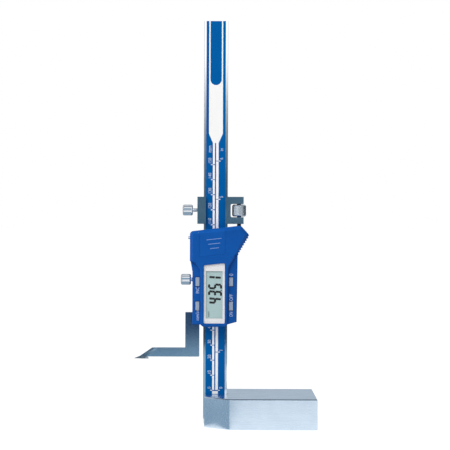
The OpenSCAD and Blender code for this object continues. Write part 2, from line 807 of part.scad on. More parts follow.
module fine_nut() {
    tooth = 360 / nut_teeth;
    color([0.70, 0.72, 0.75])
    on_carriage() translate([ear_x, 0, nut_z0]) difference() {
        intersection() {
            linear_extrude(nut_h) polygon([for (i = [0:nut_teeth - 1]) each [
                (nut_d / 2) * [cos(i * tooth), sin(i * tooth)],
                (nut_d / 2 - nut_tooth) * [cos((i + 0.5) * tooth), sin((i + 0.5) * tooth)]]]);
            rotate_extrude() polygon([
                [0, 0], [nut_d / 2 - nut_bevel, 0], [nut_d / 2 + 1, nut_bevel + 1],
                [nut_d / 2 + 1, nut_h - nut_bevel - 1], [nut_d / 2 - nut_bevel, nut_h], [0, nut_h]]);
        }
        translate([0, 0, -1]) cylinder(d = rod_d + 2 * fit, h = nut_h + 2);
    }
}

foot_block();
beam();
scale_strip();
scale_foil();
beam_screws();
slide_frame();
scriber_tip();
gib_screws();
slide_gib();
lock_screw();
sensor_board();
controller_chip();
key_switches();
display_cell();
display_reflector();
display_holder();
contact_rubbers();
window();
housing();
housing_screws();
key_inc();
key_units();
key_zero();
key_power();
battery_tray();
coin_cell();
contact_minus();
contact_plus();
battery_cover();
adjusting_rod();
rod_nut();
clamp_block();
clamp_gib();
clamp_screw();
fine_nut();
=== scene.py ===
"""Digital height gauge: finishes, printing and the moulded, knurled and threaded shapes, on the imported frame.

Lengths in the classes are in millimetres, in the frame's own axes: X to the right, Y to the back, Z up.
"""

import logging
import math
from collections.abc import Callable, Iterable, Sequence
from dataclasses import dataclass, field
from enum import Enum

import bmesh
import bpy
from mathutils import Matrix, Vector

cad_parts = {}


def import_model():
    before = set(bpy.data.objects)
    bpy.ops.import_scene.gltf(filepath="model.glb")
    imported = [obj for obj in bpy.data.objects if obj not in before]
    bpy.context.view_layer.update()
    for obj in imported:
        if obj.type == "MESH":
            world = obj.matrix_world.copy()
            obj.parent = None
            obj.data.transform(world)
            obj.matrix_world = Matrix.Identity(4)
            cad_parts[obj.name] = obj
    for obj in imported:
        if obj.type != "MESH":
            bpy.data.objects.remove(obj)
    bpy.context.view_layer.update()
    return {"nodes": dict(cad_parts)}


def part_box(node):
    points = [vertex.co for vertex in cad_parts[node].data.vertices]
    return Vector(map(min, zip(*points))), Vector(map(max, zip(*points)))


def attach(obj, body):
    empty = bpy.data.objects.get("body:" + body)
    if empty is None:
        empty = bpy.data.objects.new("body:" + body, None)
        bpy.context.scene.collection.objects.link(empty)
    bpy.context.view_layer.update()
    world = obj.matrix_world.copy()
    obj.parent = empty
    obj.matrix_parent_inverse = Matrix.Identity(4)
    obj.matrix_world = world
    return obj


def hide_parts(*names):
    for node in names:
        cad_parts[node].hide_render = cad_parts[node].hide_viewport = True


MM = 0.001
LOG = logging.getLogger("height_gauge")

# Steps along each rounded corner or edge, and the least radius that an outline's corner keeps
ARC_STEPS = 6
LEAST_RADIUS = 0.05
# Steps along each curve of a letter
LETTER_STEPS = 3
# Pitch of the screw threads, and the rings of points that draw each turn
THREAD_PITCH = 0.5
THREAD_RINGS = 8
# In metres: points nearer than the first are welded, and edges shorter than the second are dropped
WELD = 2e-7
SLIVER = 1e-7
# Edges of a CAD node are shaded smooth below this angle, in degrees
SHALLOW = 28

Point2 = tuple[float, float]
Point3 = tuple[float, float, float]
Colour = tuple[float, float, float]
Ring = list[Point3]
Socket = bpy.types.NodeSocket
Feed = Socket | float | Sequence[float]


class Carving(Enum):
    """What a tool shape does to the shape that it meets."""

    CUT = "DIFFERENCE"
    JOIN = "UNION"
    KEEP = "INTERSECT"


class Grain(Enum):
    """How far a steel's lines are drawn out along X, Y and Z, as noise cells in each millimetre."""

    ALONG_FOOT = (0.03, 2.5, 5.0)
    ALONG_BEAM = (5.0, 5.0, 0.03)
    ACROSS = (0.08, 4.0, 4.0)
    BLASTED = (3.0, 3.0, 3.0)


class Place(Enum):
    """Which end of a line of lettering stands at its given height."""

    START = 0.0
    MIDDLE = 0.5


def srgb(red: int, green: int, blue: int) -> Colour:
    """Turn a colour as a screen shows it into the linear colour that shaders take.

    Args:
        red: Red, from 0 to 255.
        green: Green, from 0 to 255.
        blue: Blue, from 0 to 255.

    Returns:
        The same colour in linear light.
    """

    def linear(value: float) -> float:
        """Linear light of one channel from 0 to 1."""
        return value / 12.92 if value <= 0.04045 else ((value + 0.055) / 1.055) ** 2.4

    return linear(red / 255), linear(green / 255), linear(blue / 255)


def shade(colour: Colour, share: float) -> Colour:
    """The colour with its light multiplied by a share."""
    return colour[0] * share, colour[1] * share, colour[2] * share


class Wiring:
    """A node tree, with short ways to add nodes that are filled in and joined up."""

    def __init__(self, tree: bpy.types.NodeTree) -> None:
        """Take up a tree.

        Args:
            tree: The node tree.
        """
        self.tree = tree

    def link(self, out: Socket, into: Socket) -> None:
        """Join two sockets."""
        self.tree.links.new(out, into)

    def node(self, kind: str, inputs: dict[str | int, Feed] | None = None, **options: str) -> bpy.types.Node:
        """Add a node.

        Args:
            kind: The node's kind.
            inputs: What each input gets, by its name or number: a socket to join, or a value.
            **options: The node's other settings.

        Returns:
            The node.
        """
        made = self.tree.nodes.new(kind)
        for option, choice in options.items():
            setattr(made, option, choice)
        for where, feed in (inputs or {}).items():
            if isinstance(feed, Socket):
                self.link(feed, made.inputs[where])
            else:
                made.inputs[where].default_value = feed
        return made

    def step(self, value: Socket, low: float, high: float) -> Socket:
        """A soft step from 0 to 1.

        Args:
            value: What it follows.
            low: The value where it is 0.
            high: The value where it is 1.

        Returns:
            The step.
        """
        feed = {"From Min": low, "From Max": high, "Value": value}
        return self.node("ShaderNodeMapRange", feed, interpolation_type="SMOOTHSTEP").outputs["Result"]

    def ramp(self, along: Socket, stops: Sequence[tuple[float, Colour]], soft: bool = False) -> Socket:
        """A run of colours.

        Args:
            along: What it follows, from 0 to 1.
            stops: Places along it, and the colour at each.
            soft: True eases the change at each stop.

        Returns:
            The colour.
        """
        node = self.node("ShaderNodeValToRGB", {"Fac": along})
        node.color_ramp.interpolation = "EASE" if soft else "LINEAR"
        points = node.color_ramp.elements
        while len(points) < len(stops):
            points.new(0.5)
        for point, (where, colour) in zip(points, stops):
            point.position, point.color = where, (*colour, 1.0)
        return node.outputs["Color"]


class MaterialNodes(Wiring):
    """The node tree of one material, with the steps that the finishes have in common."""

    # The part of the range from 0 to 1 that noise mostly fills
    NOISE_SPAN = (0.25, 0.75)

    def __init__(self, name: str) -> None:
        """Start a material with its shader.

        Args:
            name: The material's name.
        """
        self.material = bpy.data.materials.new(name)
        self.material.use_nodes = True
        super().__init__(self.material.node_tree)
        self.shader = self.tree.nodes["Principled BSDF"]
        self.place = self.node("ShaderNodeTexCoord").outputs["Object"]

    def set(self, **values: float | tuple[float, ...]) -> None:
        """Set the shader's own sockets.

        Args:
            **values: A value for each socket, named as the socket is, with underscores for spaces.
        """
        for name, value in values.items():
            self.shader.inputs[name.replace("_", " ")].default_value = value

    def noise(self, per_mm: Sequence[float], detail: float) -> Socket:
        """Noise over the surface.

        Args:
            per_mm: Noise cells in each millimetre along X, Y and Z.
            detail: How many finer layers the noise has.

        Returns:
            The noise, from 0 to 1.
        """
        scale = [value / MM for value in per_mm]
        cells = self.node("ShaderNodeMapping", {"Scale": scale, "Vector": self.place})
        feed = {"Scale": 1.0, "Detail": detail, "Vector": cells.outputs["Vector"]}
        return self.node("ShaderNodeTexNoise", feed).outputs["Fac"]

    def blend(self, first: Socket, second: Socket, share: float) -> Socket:
        """Mix two patterns.

        Args:
            first: One pattern.
            second: The other pattern.
            share: The second pattern's share.

        Returns:
            The mixed pattern.
        """
        return self.node("ShaderNodeMix", {"Factor": share, "A": first, "B": second}).outputs["Result"]

    def height(self, low: float, high: float) -> Socket:
        """A soft step with height, used for shade painted on a surface.

        Args:
            low: Height where it is 0, in millimetres.
            high: Height where it is 1, in millimetres.

        Returns:
            The change, from 0 to 1.
        """
        axes = self.node("ShaderNodeSeparateXYZ", {"Vector": self.place}).outputs
        return self.step(axes["Z"], low * MM, high * MM)

    def tint(self, pattern: Socket, low: Colour, high: Colour, spread: float) -> None:
        """Colour the surface between two tones.

        Args:
            pattern: The pattern that chooses the tone.
            low: The tone where the pattern is low.
            high: The tone where the pattern is high.
            spread: How far from the pattern's middle each tone is reached.
        """
        colour = self.ramp(pattern, [(0.5 - spread, low), (0.5 + spread, high)])
        self.link(colour, self.shader.inputs["Base Color"])

    def sheen_range(self, pattern: Socket, low: float, high: float) -> None:
        """Vary the roughness over the surface.

        Args:
            pattern: The pattern that it follows.
            low: Roughness where the pattern is low.
            high: Roughness where the pattern is high.
        """
        start, end = self.NOISE_SPAN
        feed = {"From Min": start, "From Max": end, "To Min": low, "To Max": high, "Value": pattern}
        self.link(self.node("ShaderNodeMapRange", feed).outputs["Result"], self.shader.inputs["Roughness"])

    def relief(self, pattern: Socket, height: float) -> None:
        """Raise the surface by a pattern.

        Args:
            pattern: The pattern.
            height: Height of the relief in millimetres.
        """
        node = self.node("ShaderNodeBump", {"Distance": height * MM, "Height": pattern})
        self.link(node.outputs["Normal"], self.shader.inputs["Normal"])


@dataclass(frozen=True)
class Finish:
    """A surface finish, made into a material when a piece first needs it."""

    name: str
    slot: str

    def material(self) -> bpy.types.Material:
        """The finish's material, made once."""
        return bpy.data.materials.get(self.name) or self.make(MaterialNodes(self.name))

    def make(self, nodes: MaterialNodes) -> bpy.types.Material:
        """Build the material's nodes.

        Args:
            nodes: The material's node tree.

        Returns:
            The finished material.
        """
        raise NotImplementedError


@dataclass(frozen=True)
class Metal(Finish):
    """Bare or plated metal with the lines or the fine relief that its making leaves, and painted shade that
    changes with height where a span is given.
    """

    dark: Colour
    light: Colour
    roughness: float
    grain: Grain = Grain.BLASTED
    relief: float = 0.002
    play: float = 0.06
    fade: Point2 = (0.0, 0.0)

    CLOUDS = (0.09, 0.09, 0.09)
    CLOUD_SHARE = 0.4
    SPREAD = 0.16
    # Share of the painted shade in the tone where a height span is given, and the spread of the tone then
    FADE_SHARE = 0.78
    FADE_SPREAD = 0.42

    def make(self, nodes: MaterialNodes) -> bpy.types.Material:
        """Build lines along the grain, a slow change of tone, painted shade with height where a span is given,
        and fine relief.

        Args:
            nodes: The material's node tree.

        Returns:
            The finished material.
        """
        lines = nodes.noise(self.grain.value, detail=4.0)
        pattern = nodes.blend(lines, nodes.noise(self.CLOUDS, detail=2.0), self.CLOUD_SHARE)
        spread = self.SPREAD
        # Painted shade: over the given span of heights the tone goes from dark at the first height to light at
        # the second
        if self.fade[0] != self.fade[1]:
            pattern = nodes.blend(pattern, nodes.height(*self.fade), self.FADE_SHARE)
            spread = self.FADE_SPREAD
        nodes.tint(pattern, self.dark, self.light, spread)
        nodes.sheen_range(lines, self.roughness - self.play, self.roughness + self.play)
        nodes.relief(lines, self.relief)
        nodes.set(Metallic=1.0)
        return nodes.material


@dataclass(frozen=True)
class Moulded(Finish):
    """Moulded or coated plastic: a fine spark-eroded texture over a nearly even colour."""

    colour: Colour
    depth: float = 0.86
    roughness: float = 0.42
    texture: float = 0.006
    gloss: float = 0.5

    DRIFT = (0.07, 0.07, 0.05)
    PITS = (6.0, 6.0, 6.0)
    PIT_SHARE = 0.3
    SPREAD = 0.18
    PLAY = 0.05

    def make(self, nodes: MaterialNodes) -> bpy.types.Material:
        """Build a slow drift of colour and a fine pitted texture.

        Args:
            nodes: The material's node tree.

        Returns:
            The finished material.
        """
        drift = nodes.noise(self.DRIFT, detail=2.0)
        pits = nodes.noise(self.PITS, detail=2.0)
        pattern = nodes.blend(drift, pits, self.PIT_SHARE)
        nodes.tint(pattern, shade(self.colour, self.depth), self.colour, self.SPREAD)
        nodes.sheen_range(pits, self.roughness - self.PLAY, self.roughness + self.PLAY)
        nodes.relief(pits, self.texture)
        nodes.set(Specular_IOR_Level=self.gloss)
        return nodes.material


@dataclass(frozen=True)
class Ink(Finish):
    """Screen-printed ink, thin and a little uneven."""

    colour: Colour
    depth: float = 0.9
    roughness: float = 0.5

    DOTS = (1.5, 1.5, 1.5)
    SPREAD = 0.2
    PLAY = 0.06
    RELIEF = 0.001
    GLOSS = 0.4

    def make(self, nodes: MaterialNodes) -> bpy.types.Material:
        """Build ink that covers a little unevenly over a fine dot.

        Args:
            nodes: The material's node tree.

        Returns:
            The finished material.
        """
        cover = nodes.noise(self.DOTS, detail=3.0)
        nodes.tint(cover, shade(self.colour, self.depth), self.colour, self.SPREAD)
        nodes.sheen_range(cover, self.roughness - self.PLAY, self.roughness + self.PLAY)
        nodes.relief(cover, self.RELIEF)
        nodes.set(Specular_IOR_Level=self.GLOSS)
        return nodes.material


@dataclass(frozen=True)
class Clear(Finish):
    """Clear moulded plastic of a display window."""

    cover: float

    HAZE = (0.3, 0.3, 0.3)
    TONES = ((0.30, 0.33, 0.34), (0.36, 0.39, 0.40))
    SPREAD = 0.25
    POLISH = (0.04, 0.09)

    def make(self, nodes: MaterialNodes) -> bpy.types.Material:
        """Build a nearly clear sheet with a polished face and faint haze.

        Args:
            nodes: The material's node tree.

        Returns:
            The finished material.
        """
        haze = nodes.noise(self.HAZE, detail=2.0)
        nodes.tint(haze, *self.TONES, self.SPREAD)
        nodes.sheen_range(haze, *self.POLISH)
        nodes.set(Alpha=self.cover)
        return nodes.material


class Finishes:
    """Every finish of the gauge."""

    foot = Metal(
        "foot_ground_steel", "ground_steel", (0.56, 0.68, 0.80), (0.68, 0.80, 0.92),
        roughness=0.26, grain=Grain.ALONG_FOOT, relief=0.0012, play=0.03,
    )
    beam = Metal(
        "beam_satin_steel", "satin_steel", (0.90, 0.93, 0.96), (0.99, 0.995, 1.0),
        roughness=0.085, grain=Grain.ALONG_BEAM, play=0.03,
    )
    # The scriber's steel carries painted shade: darker above 68 mm and lighter below 44 mm
    scriber = Metal(
        "scriber_steel", "frame_steel", (0.085, 0.165, 0.30), (0.44, 0.65, 0.82),
        roughness=0.3, relief=0.004, fade=(68.0, 44.0),
    )
    block = Metal(
        "clamp_steel", "frame_steel", (0.095, 0.19, 0.28), (0.165, 0.295, 0.40),
        roughness=0.36, relief=0.005,
    )
    carbide = Metal(
        "tip_carbide", "carbide", (0.55, 0.62, 0.68), (0.75, 0.82, 0.88),
        roughness=0.28, grain=Grain.ACROSS,
    )
    chrome = Metal(
        "screw_chrome", "bright_steel", (0.80, 0.83, 0.87), (0.94, 0.96, 0.99),
        roughness=0.1, grain=Grain.ACROSS, relief=0.001, play=0.03,
    )
    nut = Metal(
        "nut_chrome", "bright_steel", (0.54, 0.60, 0.66), (0.80, 0.87, 0.93),
        roughness=0.2, grain=Grain.ACROSS, relief=0.001,
    )
    black = Metal(
        "blackened_steel", "black_steel", (0.045, 0.05, 0.055), (0.11, 0.12, 0.13),
        roughness=0.34, relief=0.003,
    )
    brass = Metal(
        "gib_brass_strip", "gib_brass", (0.62, 0.42, 0.16), (0.78, 0.57, 0.27),
        roughness=0.3, grain=Grain.ALONG_BEAM,
    )
    contact = Metal(
        "contact_spring", "contact_brass", (0.68, 0.52, 0.24), (0.86, 0.70, 0.38),
        roughness=0.24, grain=Grain.ACROSS,
    )
    cell_can = Metal(
        "cell_steel_can", "cell_steel", (0.60, 0.61, 0.62), (0.80, 0.81, 0.82),
        roughness=0.22, relief=0.001,
    )
    housing = Moulded("housing_blue", "housing_plastic", srgb(12, 86, 170), roughness=0.36, gloss=0.16)
    cover = Moulded("cover_blue", "housing_plastic", srgb(13, 88, 173), roughness=0.37, gloss=0.16)
    key = Moulded(
        "key_grey", "key_plastic", srgb(160, 174, 196), depth=0.84, roughness=0.4, texture=0.004, gloss=0.3
    )
    foil = Moulded(
        "foil_blue", "printed_foil", srgb(0, 95, 169), depth=0.93, roughness=0.3, texture=0.0015, gloss=0.05
    )
    strip = Moulded("strip_laminate_amber", "strip_laminate", (0.46, 0.30, 0.10), depth=0.75, roughness=0.35)
    board = Moulded("board_green", "board_laminate", (0.02, 0.13, 0.055), depth=0.7, roughness=0.3)
    resin = Moulded("chip_drop_black", "chip_resin", (0.012, 0.012, 0.014), depth=0.6, roughness=0.28)
    switch = Moulded("switch_cream", "switch_plastic", (0.72, 0.70, 0.62), depth=0.88, roughness=0.45)
    glass = Moulded(
        "cell_grey_green", "display_glass", srgb(183, 210, 211),
        depth=0.95, roughness=0.16, texture=0.0005, gloss=0.2,
    )
    reflector = Moulded("reflector_silver", "reflector_film", (0.70, 0.74, 0.72), depth=0.92, roughness=0.3)
    holder = Moulded("holder_white", "holder_plastic", (0.82, 0.82, 0.79), depth=0.92, roughness=0.5)
    rubber = Moulded("rubber_grey", "contact_rubber", (0.045, 0.045, 0.05), depth=0.7, roughness=0.7)
    tray = Moulded("tray_black", "tray_plastic", (0.018, 0.019, 0.022), depth=0.7, roughness=0.5)
    lens = Clear("window_clear", "window_plastic", cover=0.03)
    rim = Ink("window_rim_white", "window_plastic", (1.0, 0.96, 0.94), depth=0.98)
    mask = Ink("window_mask_pale", "window_plastic", srgb(246, 245, 246), depth=0.96)
    white = Ink("scale_white", "printed_foil", (1.0, 1.0, 0.99), depth=0.97)
    figures = Ink("scale_figures", "printed_foil", srgb(228, 240, 250), depth=0.95)
    legend = Ink("key_legend", "housing_plastic", srgb(215, 226, 246), depth=0.92)
    # Painted shadow: a dark band laid round each key where the gap's shade falls
    rims = Ink("key_gap_painted_shadow", "housing_plastic", srgb(9, 46, 112), depth=0.85)
    lines = Ink("cover_lines", "housing_plastic", srgb(128, 158, 214), depth=0.85)
    segment = Ink("display_segment", "display_glass", (0.006, 0.007, 0.008), depth=0.7)
    unit_mark = Ink("display_unit", "display_glass", srgb(70, 84, 86), depth=0.85)


def sweep(angle: float, steps: int) -> list[float]:
    """Angles from 0 to the given one, in equal steps."""
    return [angle * k / steps for k in range(steps + 1)]


def full_turn(steps: int) -> list[float]:
    """Angles once round, in equal steps."""
    return sweep(2 * math.pi, steps)[:-1]


def left_of(v: Vector) -> Vector:
    """The direction a quarter turn to the left of v."""
    return Vector((-v.y, v.x))


@dataclass(frozen=True)
class Corner:
    """A corner of an outline in X and Z, and how wide the rounded edge is on its two sides there."""

    x: float
    z: float
    radius: float
    before: float = 0.0
    after: float = 0.0

    @property
    def at(self) -> Vector:
        """The corner's place."""
        return Vector((self.x, self.z))


def corner_arc(before: Corner, corner: Corner, after: Corner, insets: Point2) -> list[Vector]:
    """Round one corner, with its two sides moved inward.

    Args:
        before: The corner before it.
        corner: The corner.
        after: The corner after it.
        insets: How far the arriving and the leaving side move inward.

    Returns:
        Points along the arc.
    """
    u = (corner.at - before.at).normalized()
    v = (after.at - corner.at).normalized()
    bend = u.cross(v)
    side = 1.0 if bend > 0 else -1.0
    turn = math.atan2(abs(bend), u.dot(v))
    start = corner.at + left_of(u) * insets[0]
    end = corner.at + left_of(v) * insets[1]
    meet = start + u * ((end - start).cross(v) / bend)
    radius = max(corner.radius - side * sum(insets) / 2, LEAST_RADIUS)
    hub = meet - u * radius * math.tan(turn / 2) + left_of(u) * side * radius
    spoke = left_of(u) * -side * radius
    return [hub + Matrix.Rotation(a, 2) @ spoke for a in sweep(side * turn, ARC_STEPS)]


def outline(corners: Sequence[Corner], inset: float = 0.0, share: float = 0.0) -> list[Vector]:
    """Round every corner of an outline.

    Args:
        corners: The corners, anticlockwise as seen from the front.
        inset: How far the whole outline moves inward.
        share: The part of each side's edge width that it moves inward besides.

    Returns:
        The outline's points.
    """
    points: list[Vector] = []
    for i, corner in enumerate(corners):
        insets = (inset + corner.before * share, inset + corner.after * share)
        points += corner_arc(corners[i - 1], corner, corners[(i + 1) % len(corners)], insets)
    return points


def edge_heights(corners: Sequence[Corner], most: float) -> list[float]:
    """Height of the rounded edge at each point of an outline.

    Args:
        corners: The outline's corners.
        most: The greatest height.

    Returns:
        One height for each point that outline() gives.
    """
    heights: list[float] = []
    for corner in corners:
        first, last = min(corner.before, most), min(corner.after, most)
        heights += [first + (last - first) * k / ARC_STEPS for k in range(ARC_STEPS + 1)]
    return heights


@dataclass
class Solid:
    """A closed shape, held as points in millimetres and faces."""

    points: list[Point3] = field(default_factory=list)
    faces: list[tuple[int, ...]] = field(default_factory=list)

    def loft(self, rings: Sequence[Ring], ends: bool = True) -> "Solid":
        """Add a skin over rings of points that match each other.

        Args:
            rings: The rings, each with the same number of points.
            ends: True closes both ends, and False joins the last ring to the first.

        Returns:
            This solid.
        """
        base, count = len(self.points), len(rings[0])
        for ring in rings:
            self.points += ring
        spans = len(rings) - 1 if ends else len(rings)
        for r in range(spans):
            low, high = base + r * count, base + (r + 1) % len(rings) * count
            for k in range(count):
                n = (k + 1) % count
                self.faces.append((low + k, low + n, high + n, high + k))
        if ends:
            self.faces.append(tuple(range(base, base + count)))
            last = base + (len(rings) - 1) * count
            self.faces.append(tuple(range(last, last + count)))
        return self

    def prism(self, plan: Iterable[Sequence[float]], front: float, back: float) -> "Solid":
        """Add an upright X-Z drawing drawn out from front to back.

        Args:
            plan: The drawing's points, as X and Z.
            front: Y of the front face.
            back: Y of the back face.

        Returns:
            This solid.
        """
        plan = list(plan)
        return self.loft([[(p[0], y, p[1]) for p in plan] for y in (front, back)])

    def box(self, x: Point2, y: Point2, z: Point2) -> "Solid":
        """Add a block between the given pairs of levels."""
        return self.prism([(x[0], z[0]), (x[1], z[0]), (x[1], z[1]), (x[0], z[1])], y[0], y[1])

    def rod_y(self, radius: float, y: Point2, x: float, z: float, sides: int = 40) -> "Solid":
        """Add a round rod that lies along Y.

        Args:
            radius: The rod's radius.
            y: Its front and back ends.
            x: X of its middle.
            z: Z of its middle.
            sides: Number of facets.

        Returns:
            This solid.
        """
        plan = [(x + radius * math.cos(a), z + radius * math.sin(a)) for a in full_turn(sides)]
        return self.prism(plan, y[0], y[1])

    def raised(self, lift: float) -> "Solid":
        """Move the whole solid up."""
        self.points = [(x, y, z + lift) for x, y, z in self.points]
        return self

    def mesh(self, name: str) -> bpy.types.Mesh:
        """Make a mesh of the solid, welded and with its faces outward.

        Args:
            name: The mesh's name.

        Returns:
            The mesh, in metres.
        """
        mesh = bpy.data.meshes.new(name)
        mesh.from_pydata([[c * MM for c in p] for p in self.points], [], self.faces)
        return clean(mesh)


def clean(mesh: bpy.types.Mesh) -> bpy.types.Mesh:
    """Weld a mesh's points, drop faces without area and turn every face outward.

    Args:
        mesh: The mesh.

    Returns:
        The same mesh.
    """
    work = bmesh.new()
    work.from_mesh(mesh)
    bmesh.ops.remove_doubles(work, verts=work.verts, dist=WELD)
    bmesh.ops.dissolve_degenerate(work, edges=work.edges, dist=SLIVER)
    bmesh.ops.recalc_face_normals(work, faces=work.faces)
    work.to_mesh(mesh)
    work.free()
    mesh.validate()
    return mesh


def stand_alone(name: str, data: bpy.types.ID) -> bpy.types.Object:
    """Put a mesh, curve, lamp or camera in the scene as an object.

    Args:
        name: The object's name.
        data: What it holds.

    Returns:
        The object.
    """
    made = bpy.data.objects.new(name, data)
    bpy.context.scene.collection.objects.link(made)
    return made


def evaluated(body: bpy.types.Object) -> bpy.types.Mesh:
    """A new mesh of an object, as its modifiers or its lettering make it."""
    bpy.context.view_layer.update()
    return bpy.data.meshes.new_from_object(body.evaluated_get(bpy.context.evaluated_depsgraph_get()))


def carved(name: str, start: Solid, steps: Sequence[tuple[Carving, Solid]]) -> bpy.types.Mesh:
    """Carve a solid with others, one after another.

    Args:
        name: The new mesh's name.
        start: The solid to carve.
        steps: What each tool does, and the tool.

    Returns:
        The carved mesh.
    """
    target = stand_alone(name, start.mesh(name))
    tools = []
    for i, (how, tool) in enumerate(steps):
        body = stand_alone(f"{name}_tool_{i}", tool.mesh(f"{name}_tool_{i}"))
        cut = target.modifiers.new(f"carve_{i}", "BOOLEAN")
        cut.operation, cut.object, cut.solver = how.value, body, "EXACT"
        tools.append(body)
    mesh = evaluated(target)
    for body in [target, *tools]:
        data = body.data
        bpy.data.objects.remove(body)
        bpy.data.meshes.remove(data)
    mesh.name = name
    return clean(mesh)


def letters(
    text: str, height: float, place: Point3, depth: float, end: Place, squeeze: float = 1.0,
    weight: float = 0.006,
) -> Solid:
    """Write a line of lettering that reads upward and faces the front.

    Args:
        text: The words or numbers.
        height: Height of the letters.
        place: X of the middle of the line, Y of its back face and Z of its given end.
        depth: Thickness of the ink.
        end: Which end of the line stands at that Z.
        squeeze: Width of the letters as a share of their usual width.
        weight: How much bolder the strokes are, or thinner if it is below 0.

    Returns:
        The lettering as solids.
    """
    half = 0.5
    curve = bpy.data.curves.new("line_of_letters", "FONT")
    curve.body, curve.offset = text, weight
    curve.extrude, curve.resolution_u = half, LETTER_STEPS
    holder = stand_alone("line_of_letters", curve)
    flat = evaluated(holder)
    low = [min(v.co[k] for v in flat.vertices) for k in range(2)]
    high = [max(v.co[k] for v in flat.vertices) for k in range(2)]
    scale = height / (high[1] - low[1])
    start = place[2] - end.value * (high[0] - low[0]) * scale * squeeze
    points = [
        (
            place[0] + (0.5 * (low[1] + high[1]) - v.co.y) * scale,
            place[1] - (v.co.z + half) * depth,
            start + (v.co.x - low[0]) * scale * squeeze,
        )
        for v in flat.vertices
    ]
    faces = [tuple(p.vertices) for p in flat.polygons]
    bpy.data.objects.remove(holder)
    bpy.data.curves.remove(curve)
    bpy.data.meshes.remove(flat)
    return Solid(points, faces)


def joined(parts: Iterable[Solid]) -> Solid:
    """Gather several solids into one.

    Args:
        parts: The solids.

    Returns:
        One solid that holds them all.
    """
    whole = Solid()
    for part in parts:
        base = len(whole.points)
        whole.points += part.points
        whole.faces += [tuple(base + k for k in face) for face in part.faces]
    return whole


def shading_tree() -> bpy.types.NodeTree:
    """The geometry nodes that shade a CAD node smooth across its shallow edges.

    Returns:
        The node group, made once.
    """
    found = bpy.data.node_groups.get("smooth_shallow_edges")
    if found:
        return found
    tree = bpy.data.node_groups.new("smooth_shallow_edges", "GeometryNodeTree")
    for way in ("INPUT", "OUTPUT"):
        tree.interface.new_socket("Geometry", in_out=way, socket_type="NodeSocketGeometry")
    wiring = Wiring(tree)
    start = wiring.node("NodeGroupInput")
    angle = wiring.node("GeometryNodeInputMeshEdgeAngle").outputs["Unsigned Angle"]
    feed = {"A": angle, "B": math.radians(SHALLOW)}
    shallow = wiring.node("FunctionNodeCompare", feed, operation="LESS_THAN")
    feed = {"Geometry": start.outputs[0], "Shade Smooth": shallow.outputs["Result"]}
    edges = wiring.node("GeometryNodeSetShadeSmooth", feed, domain="EDGE")
    faces = wiring.node("GeometryNodeSetShadeSmooth", {"Geometry": edges.outputs["Geometry"]})
    wiring.node("NodeGroupOutput", {0: faces.outputs["Geometry"]})
    return tree


@dataclass
class SubAssembly:
    """A group of pieces that are made and dressed together."""

    nodes: dict[str, bpy.types.Object]

    # In metres, the distance over which a CAD node's points are welded
    NODE_WELD = 1e-6
    # In degrees: faces that meet under the first angle are one flat, edges over the second are broken
    FLAT_ANGLE = 0.6
    EDGE_ANGLE = 32

    @property
    def lift(self) -> float:
        """Height of the carriage's lower edge at rest."""
        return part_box("housing")[0].z / MM

    def dress(self, node: str, finish: Finish, edge: float = 0.0, facets: int = 2) -> None:
        """Give a CAD node its finish and break its sharp edges.

        Args:
            node: The CAD node.
            finish: Its finish.
            edge: Width of the broken edges, or 0 for none.
            facets: Facets across each broken edge: 1 for a flat chamfer.
        """
        piece = self.nodes[node]
        piece.modifiers.new("weld", "WELD").merge_threshold = self.NODE_WELD
        flat = piece.modifiers.new("flat_faces", "DECIMATE")
        flat.decimate_type, flat.angle_limit = "DISSOLVE", math.radians(self.FLAT_ANGLE)
        if edge:
            bevel = piece.modifiers.new("broken_edges", "BEVEL")
            bevel.width, bevel.segments, bevel.limit_method = edge * MM, facets, "ANGLE"
            bevel.angle_limit, bevel.miter_outer = math.radians(self.EDGE_ANGLE), "MITER_ARC"
        piece.modifiers.new("shading", "NODES").node_group = shading_tree()
        piece.modifiers.new("even_shading", "WEIGHTED_NORMAL").keep_sharp = True
        piece.data.materials.clear()
        piece.data.materials.append(finish.material())
        LOG.info("%s dressed as %s", node, finish.name)

    def place(
        self,
        name: str,
        shape: Solid | bpy.types.Mesh,
        finish: Finish,
        body: str,
        replaces: str = "",
        sharp: float = 34.0,
    ) -> None:
        """Put a new piece on its body.

        Args:
            name: The piece's name.
            shape: Its shape.
            finish: Its finish.
            body: The body that it moves with.
            replaces: The CAD node that it stands for, if any.
            sharp: Edges over this angle stay sharp, in degrees.
        """
        mesh = shape.mesh(name) if isinstance(shape, Solid) else shape
        mesh.materials.clear()
        mesh.materials.append(finish.material())
        for face in mesh.polygons:
            face.material_index = 0
        mesh.shade_smooth()
        mesh.set_sharp_from_angle(angle=math.radians(sharp))
        piece = stand_alone(name, mesh)
        piece.modifiers.new("even_shading", "WEIGHTED_NORMAL").keep_sharp = True
        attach(piece, body)
        if replaces:
            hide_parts(replaces)
        LOG.info("%s placed on %s as %s", name, body, finish.name)


@dataclass
class Foot(SubAssembly):
    """The ground steel foot block and the screws that hold the beam in it."""

    def build(self) -> None:
        """Dress the foot block and its screws."""
        self.dress("foot_block", Finishes.foot, edge=0.6, facets=1)
        self.dress("beam_screws", Finishes.black, edge=0.12)


